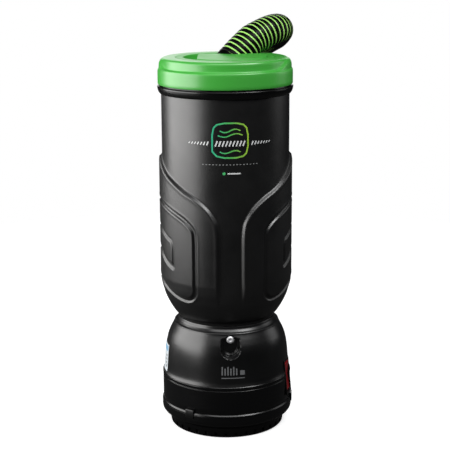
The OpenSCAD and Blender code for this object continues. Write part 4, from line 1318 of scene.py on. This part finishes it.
def arc_line(x0, x1, z, sag, n=18):
    """A channel line that bows by sag in its middle."""
    return [(x, z + sag * (1 - ((2 * (x - x0) / (x1 - x0)) - 1) ** 2)) for x in np.linspace(x0, x1, n)]


soft_pad("shoulder_pad", "back_pad", 65.5, 382.0, 466.0,
         [arc_line(-54, 54, 424, 0.0), [(-20, 392.5), (-20, 412), (-20, 436), (-20, 455.5)], [(20, 392.5), (20, 412), (20, 436), (20, 455.5)]])
soft_pad("hip_pad", "lumbar_pad", 69.0, 196.0, 260.0,
         [[(x, 206.0), (x, 228), (x, 250.0)] for x in (-36, -12, 12, 36)])

STRAP = [[115, 473], [115, 488], [119, 502], [131, 511], [147, 510], [160, 496], [168, 470], [172, 430], [173, 380],
         [171, 330], [166, 290], [158, 258], [153, 236], [151, 214], [146, 197], [136, 186], [123, 180.5], [115.2, 174],
         [115, 163]]


def make_strap(side, node, tag):
    x0 = side * 48.0
    line = catmull([[x0, p[0], p[1]] for p in STRAP], 16)
    total = line_length(line)
    d = np.concatenate([[0], np.cumsum(np.linalg.norm(np.diff(line, axis=0), axis=1))])
    k_end = int(np.argmin(np.hypot(line[:, 1] - 172.0, line[:, 2] - 352.0)))
    s_pad = float(d[k_end])
    # the padded part
    ss = np.linspace(0.3, s_pad, 150)
    ctr = at_length(line, ss)
    a = 21.2 * np.sin(np.linspace(-math.pi / 2, math.pi / 2, 33))
    secs = []
    for s in ss:
        ends = smoothstep((s - 2) / 26) * smoothstep((s_pad - s) / 22)
        thick = 2.5 + 2.5 * ends
        wide = 0.86 + 0.14 * smoothstep((s_pad - s) / 18)
        puff = np.clip(1 - np.abs(a / 21.2) ** 5, 0, 1) ** 0.55
        b = 0.9 + (thick - 0.9) * puff
        b = b - 1.3 * ends * np.exp(-((np.abs(a) - 7.0) / 1.5) ** 2)
        cross = min(abs((s - 24) % 44), abs(44 - (s - 24) % 44))
        b = b - 0.9 * ends * math.exp(-(cross / 1.9) ** 2) * np.exp(-(a / 16.0) ** 8)
        top = np.column_stack([a * wide, b])
        low = np.column_stack([a[::-1] * wide, -b[::-1]])
        secs.append(np.concatenate([top, low]))
    secs = np.array(secs)
    pad = sweep("strap_pad_" + tag, ctr, secs, [M["strap_fabric"]], up=(1, 0, 0))
    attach(pad, "vacuum")
    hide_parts(node)
    t = np.gradient(ctr, axis=0)
    t /= np.linalg.norm(t, axis=1)[:, None]
    u = np.array([1.0, 0, 0])
    v = np.cross(t, u)
    for m, e in ((-1, "a"), (1, "b")):
        wide = 0.86 + 0.14 * smoothstep((s_pad - ss) / 18)
        off = ctr + (m * 21.0 * wide)[:, None] * u
        bind = sweep("strap_binding_%s_%s" % (tag, e), off, round_section(1.55, 10, 1.15), [BINDING], up=(1, 0, 0))
        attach(bind, "vacuum")
        for face in (-1, 1):
            j = int(np.argmin(np.abs(a - m * 7.0)))
            hh = secs[:, j, 1] if face > 0 else -secs[:, j, 1]
            pts = ctr + (secs[:, j, 0])[:, None] * u + (hh + face * 0.1)[:, None] * v
            st = stitch_row("strap_stitch_%s_%s_%d" % (tag, e, face), pts[6:-8], (face * v)[6:-8], THREAD)
            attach(st, "vacuum")
            j = int(np.argmin(np.abs(a - m * 18.2)))
            hh = secs[:, j, 1] if face > 0 else -secs[:, j, 1]
            pts = ctr + (secs[:, j, 0])[:, None] * u + (hh + face * 0.1)[:, None] * v
            st = stitch_row("strap_hem_%s_%s_%d" % (tag, e, face), pts[3:-4], (face * v)[3:-4], THREAD)
            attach(st, "vacuum")

    # the webbing: sewn on the padded end, through the buckle, and down to the frame
    def webbing(name, s0, s1, off_of, half=18.6, half_t=1.15, n=150):
        sw = np.linspace(s0, s1, n)
        c = at_length(line, sw)
        tt = np.gradient(c, axis=0)
        tt /= np.linalg.norm(tt, axis=1)[:, None]
        vv = np.cross(tt, u)
        c = c + off_of(sw)[:, None] * vv
        aa = np.linspace(-half, half, 29)
        rib = 0.16 * np.cos(np.arange(29) * math.pi)
        edge = np.where(np.abs(aa) > half - 1.4, 0.45, 1.0)
        up_ = np.column_stack([aa, half_t * edge + rib * (edge > 0.9)])
        dn_ = np.column_stack([aa[::-1], -(half_t * edge[::-1] + rib[::-1] * (edge[::-1] > 0.9))])
        ob = sweep(name, c, np.concatenate([up_, dn_]), [WEBBING], up=(1, 0, 0))
        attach(ob, "vacuum")
        return ob, c, vv

    def main_off(s):
        # on the outer face of the pad, then in the middle, and against the frame at its end
        return 3.3 * (1 - smoothstep((s - s_pad + 2) / 16)) - 2.25 * smoothstep((s - total + 16) / 12)

    web, cw, vw = webbing("strap_web_" + tag, s_pad - 40, total - 0.2, main_off, n=240)
    # outward is +v or -v: the pad's outer face looks away from the body
    # a box seam with a cross holds the webbing on the pad
    sw = np.linspace(s_pad - 40, total - 0.2, 240)

    def at(a_, s_, lift=1.35):
        q = np.array([np.interp(s_, sw, cw[:, c]) for c in range(3)])
        vv = np.array([np.interp(s_, sw, vw[:, c]) for c in range(3)])
        return q + a_ * u + vv * lift, vv

    def seam(name, corners):
        pts, nn = [], []
        for (a0_, s0_), (a1_, s1_) in zip(corners[:-1], corners[1:]):
            for f in np.linspace(0, 1, 14):
                p, m = at(a0_ + (a1_ - a0_) * f, s0_ + (s1_ - s0_) * f)
                pts.append(p)
                nn.append(m)
        st = stitch_row(name, pts, nn, THREAD, long=2.4, gap=1.0)
        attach(st, "vacuum")

    s0, s1 = s_pad - 36, s_pad - 10
    seam("strap_box_%s" % tag, [(-15, s0), (15, s0), (15, s1), (-15, s1), (-15, s0), (15, s1)])
    seam("strap_cross_%s" % tag, [(-15, s1), (15, s0)])
    return pad, s_pad, total


for side, node, tag in ((-1, "shoulder_strap_left", "left"), (1, "shoulder_strap_right", "right")):
    make_strap(side, node, tag)
finish_node("strap_buckles", M["trim_black"], bevel=1.2, seg=3)
finish_node("back_frame", M["frame_black"], bevel=1.2, seg=3)

# ---------------------------------------------------------------- light
world = bpy.data.worlds.new("world")
scene.world = world
world.use_nodes = True
wn = world.node_tree
wn.nodes.clear()
out = wn.nodes.new("ShaderNodeOutputWorld")
mix = wn.nodes.new("ShaderNodeMixShader")
lp = wn.nodes.new("ShaderNodeLightPath")
seen = wn.nodes.new("ShaderNodeBackground")
seen.inputs["Color"].default_value = (1, 1, 1, 1)
seen.inputs["Strength"].default_value = 1.0
dim = wn.nodes.new("ShaderNodeBackground")
dim.inputs["Color"].default_value = (0.9, 0.95, 1, 1)
dim.inputs["Strength"].default_value = 0.012
wn.links.new(lp.outputs["Is Camera Ray"], mix.inputs[0])
wn.links.new(dim.outputs[0], mix.inputs[1])
wn.links.new(seen.outputs[0], mix.inputs[2])
wn.links.new(mix.outputs[0], out.inputs[0])


def area(name, phi, dist, z, size, size_z, power, colour=(1, 1, 1), target=(0, 0, 0.33)):
    L = bpy.data.lights.new(name, "AREA")
    L.shape = "RECTANGLE"
    L.size, L.size_y = size, size_z
    L.energy = power
    L.color = colour
    o = link(bpy.data.objects.new(name, L))
    pos = Vector((dist * math.sin(phi * RAD), -dist * math.cos(phi * RAD), z))
    o.location = pos
    o.rotation_euler = (Vector(target) - pos).to_track_quat("-Z", "Y").to_euler()
    o.visible_camera = False
    return o


area("softbox", -86, 1.25, 0.62, 1.8, 1.04, 28, (1.0, 0.99, 0.98), target=(0, 0, 0.60))
area("key_top", -4, 1.35, 2.1, 2.3, 1.0, 23, (1.0, 1.0, 1.0), target=(0, 0, 0.45))
area("side_top", 52, 1.5, 2.2, 1.0, 1.0, 32, (1.0, 1.0, 1.0), target=(0, 0, 0.5))
area("fill_right", 104, 2.2, 0.9, 1.0, 1.2, 4.2, (1.0, 1.0, 1.0))
area("back_fill", 178, 2.4, 1.2, 1.6, 1.6, 12)

# floor
floor_v = [(1.25 * math.cos(t), 1.25 * math.sin(t) + 0.25, 0) for t in np.arange(96) * 2 * math.pi / 96]
me = bpy.data.meshes.new("floor")
me.from_pydata(floor_v, [], [list(range(96))])
fm = bpy.data.materials.new("floor_pale")
fm.use_nodes = True
fn = fm.node_tree
fb = fn.nodes["Principled BSDF"]
fb.inputs["Base Color"].default_value = (0.82, 0.82, 0.82, 1)
fb.inputs["Roughness"].default_value = 0.9
fb.inputs["Specular IOR Level"].default_value = 0.1
fb.inputs["Emission Color"].default_value = (1, 1, 1, 1)
fb.inputs["Emission Strength"].default_value = 0.55
dark = fn.nodes.new("ShaderNodeBsdfDiffuse")
dark.inputs["Color"].default_value = (0.045, 0.045, 0.045, 1)
fl = fn.nodes.new("ShaderNodeLightPath")
fx = fn.nodes.new("ShaderNodeMixShader")
fn.links.new(fl.outputs["Is Camera Ray"], fx.inputs[0])
fn.links.new(dark.outputs[0], fx.inputs[1])
fn.links.new(fb.outputs[0], fx.inputs[2])
fn.links.new(fx.outputs[0], fn.nodes["Material Output"].inputs["Surface"])
me.materials.append(fm)
floor = link(bpy.data.objects.new("floor", me))
floor.location.z = -0.0002
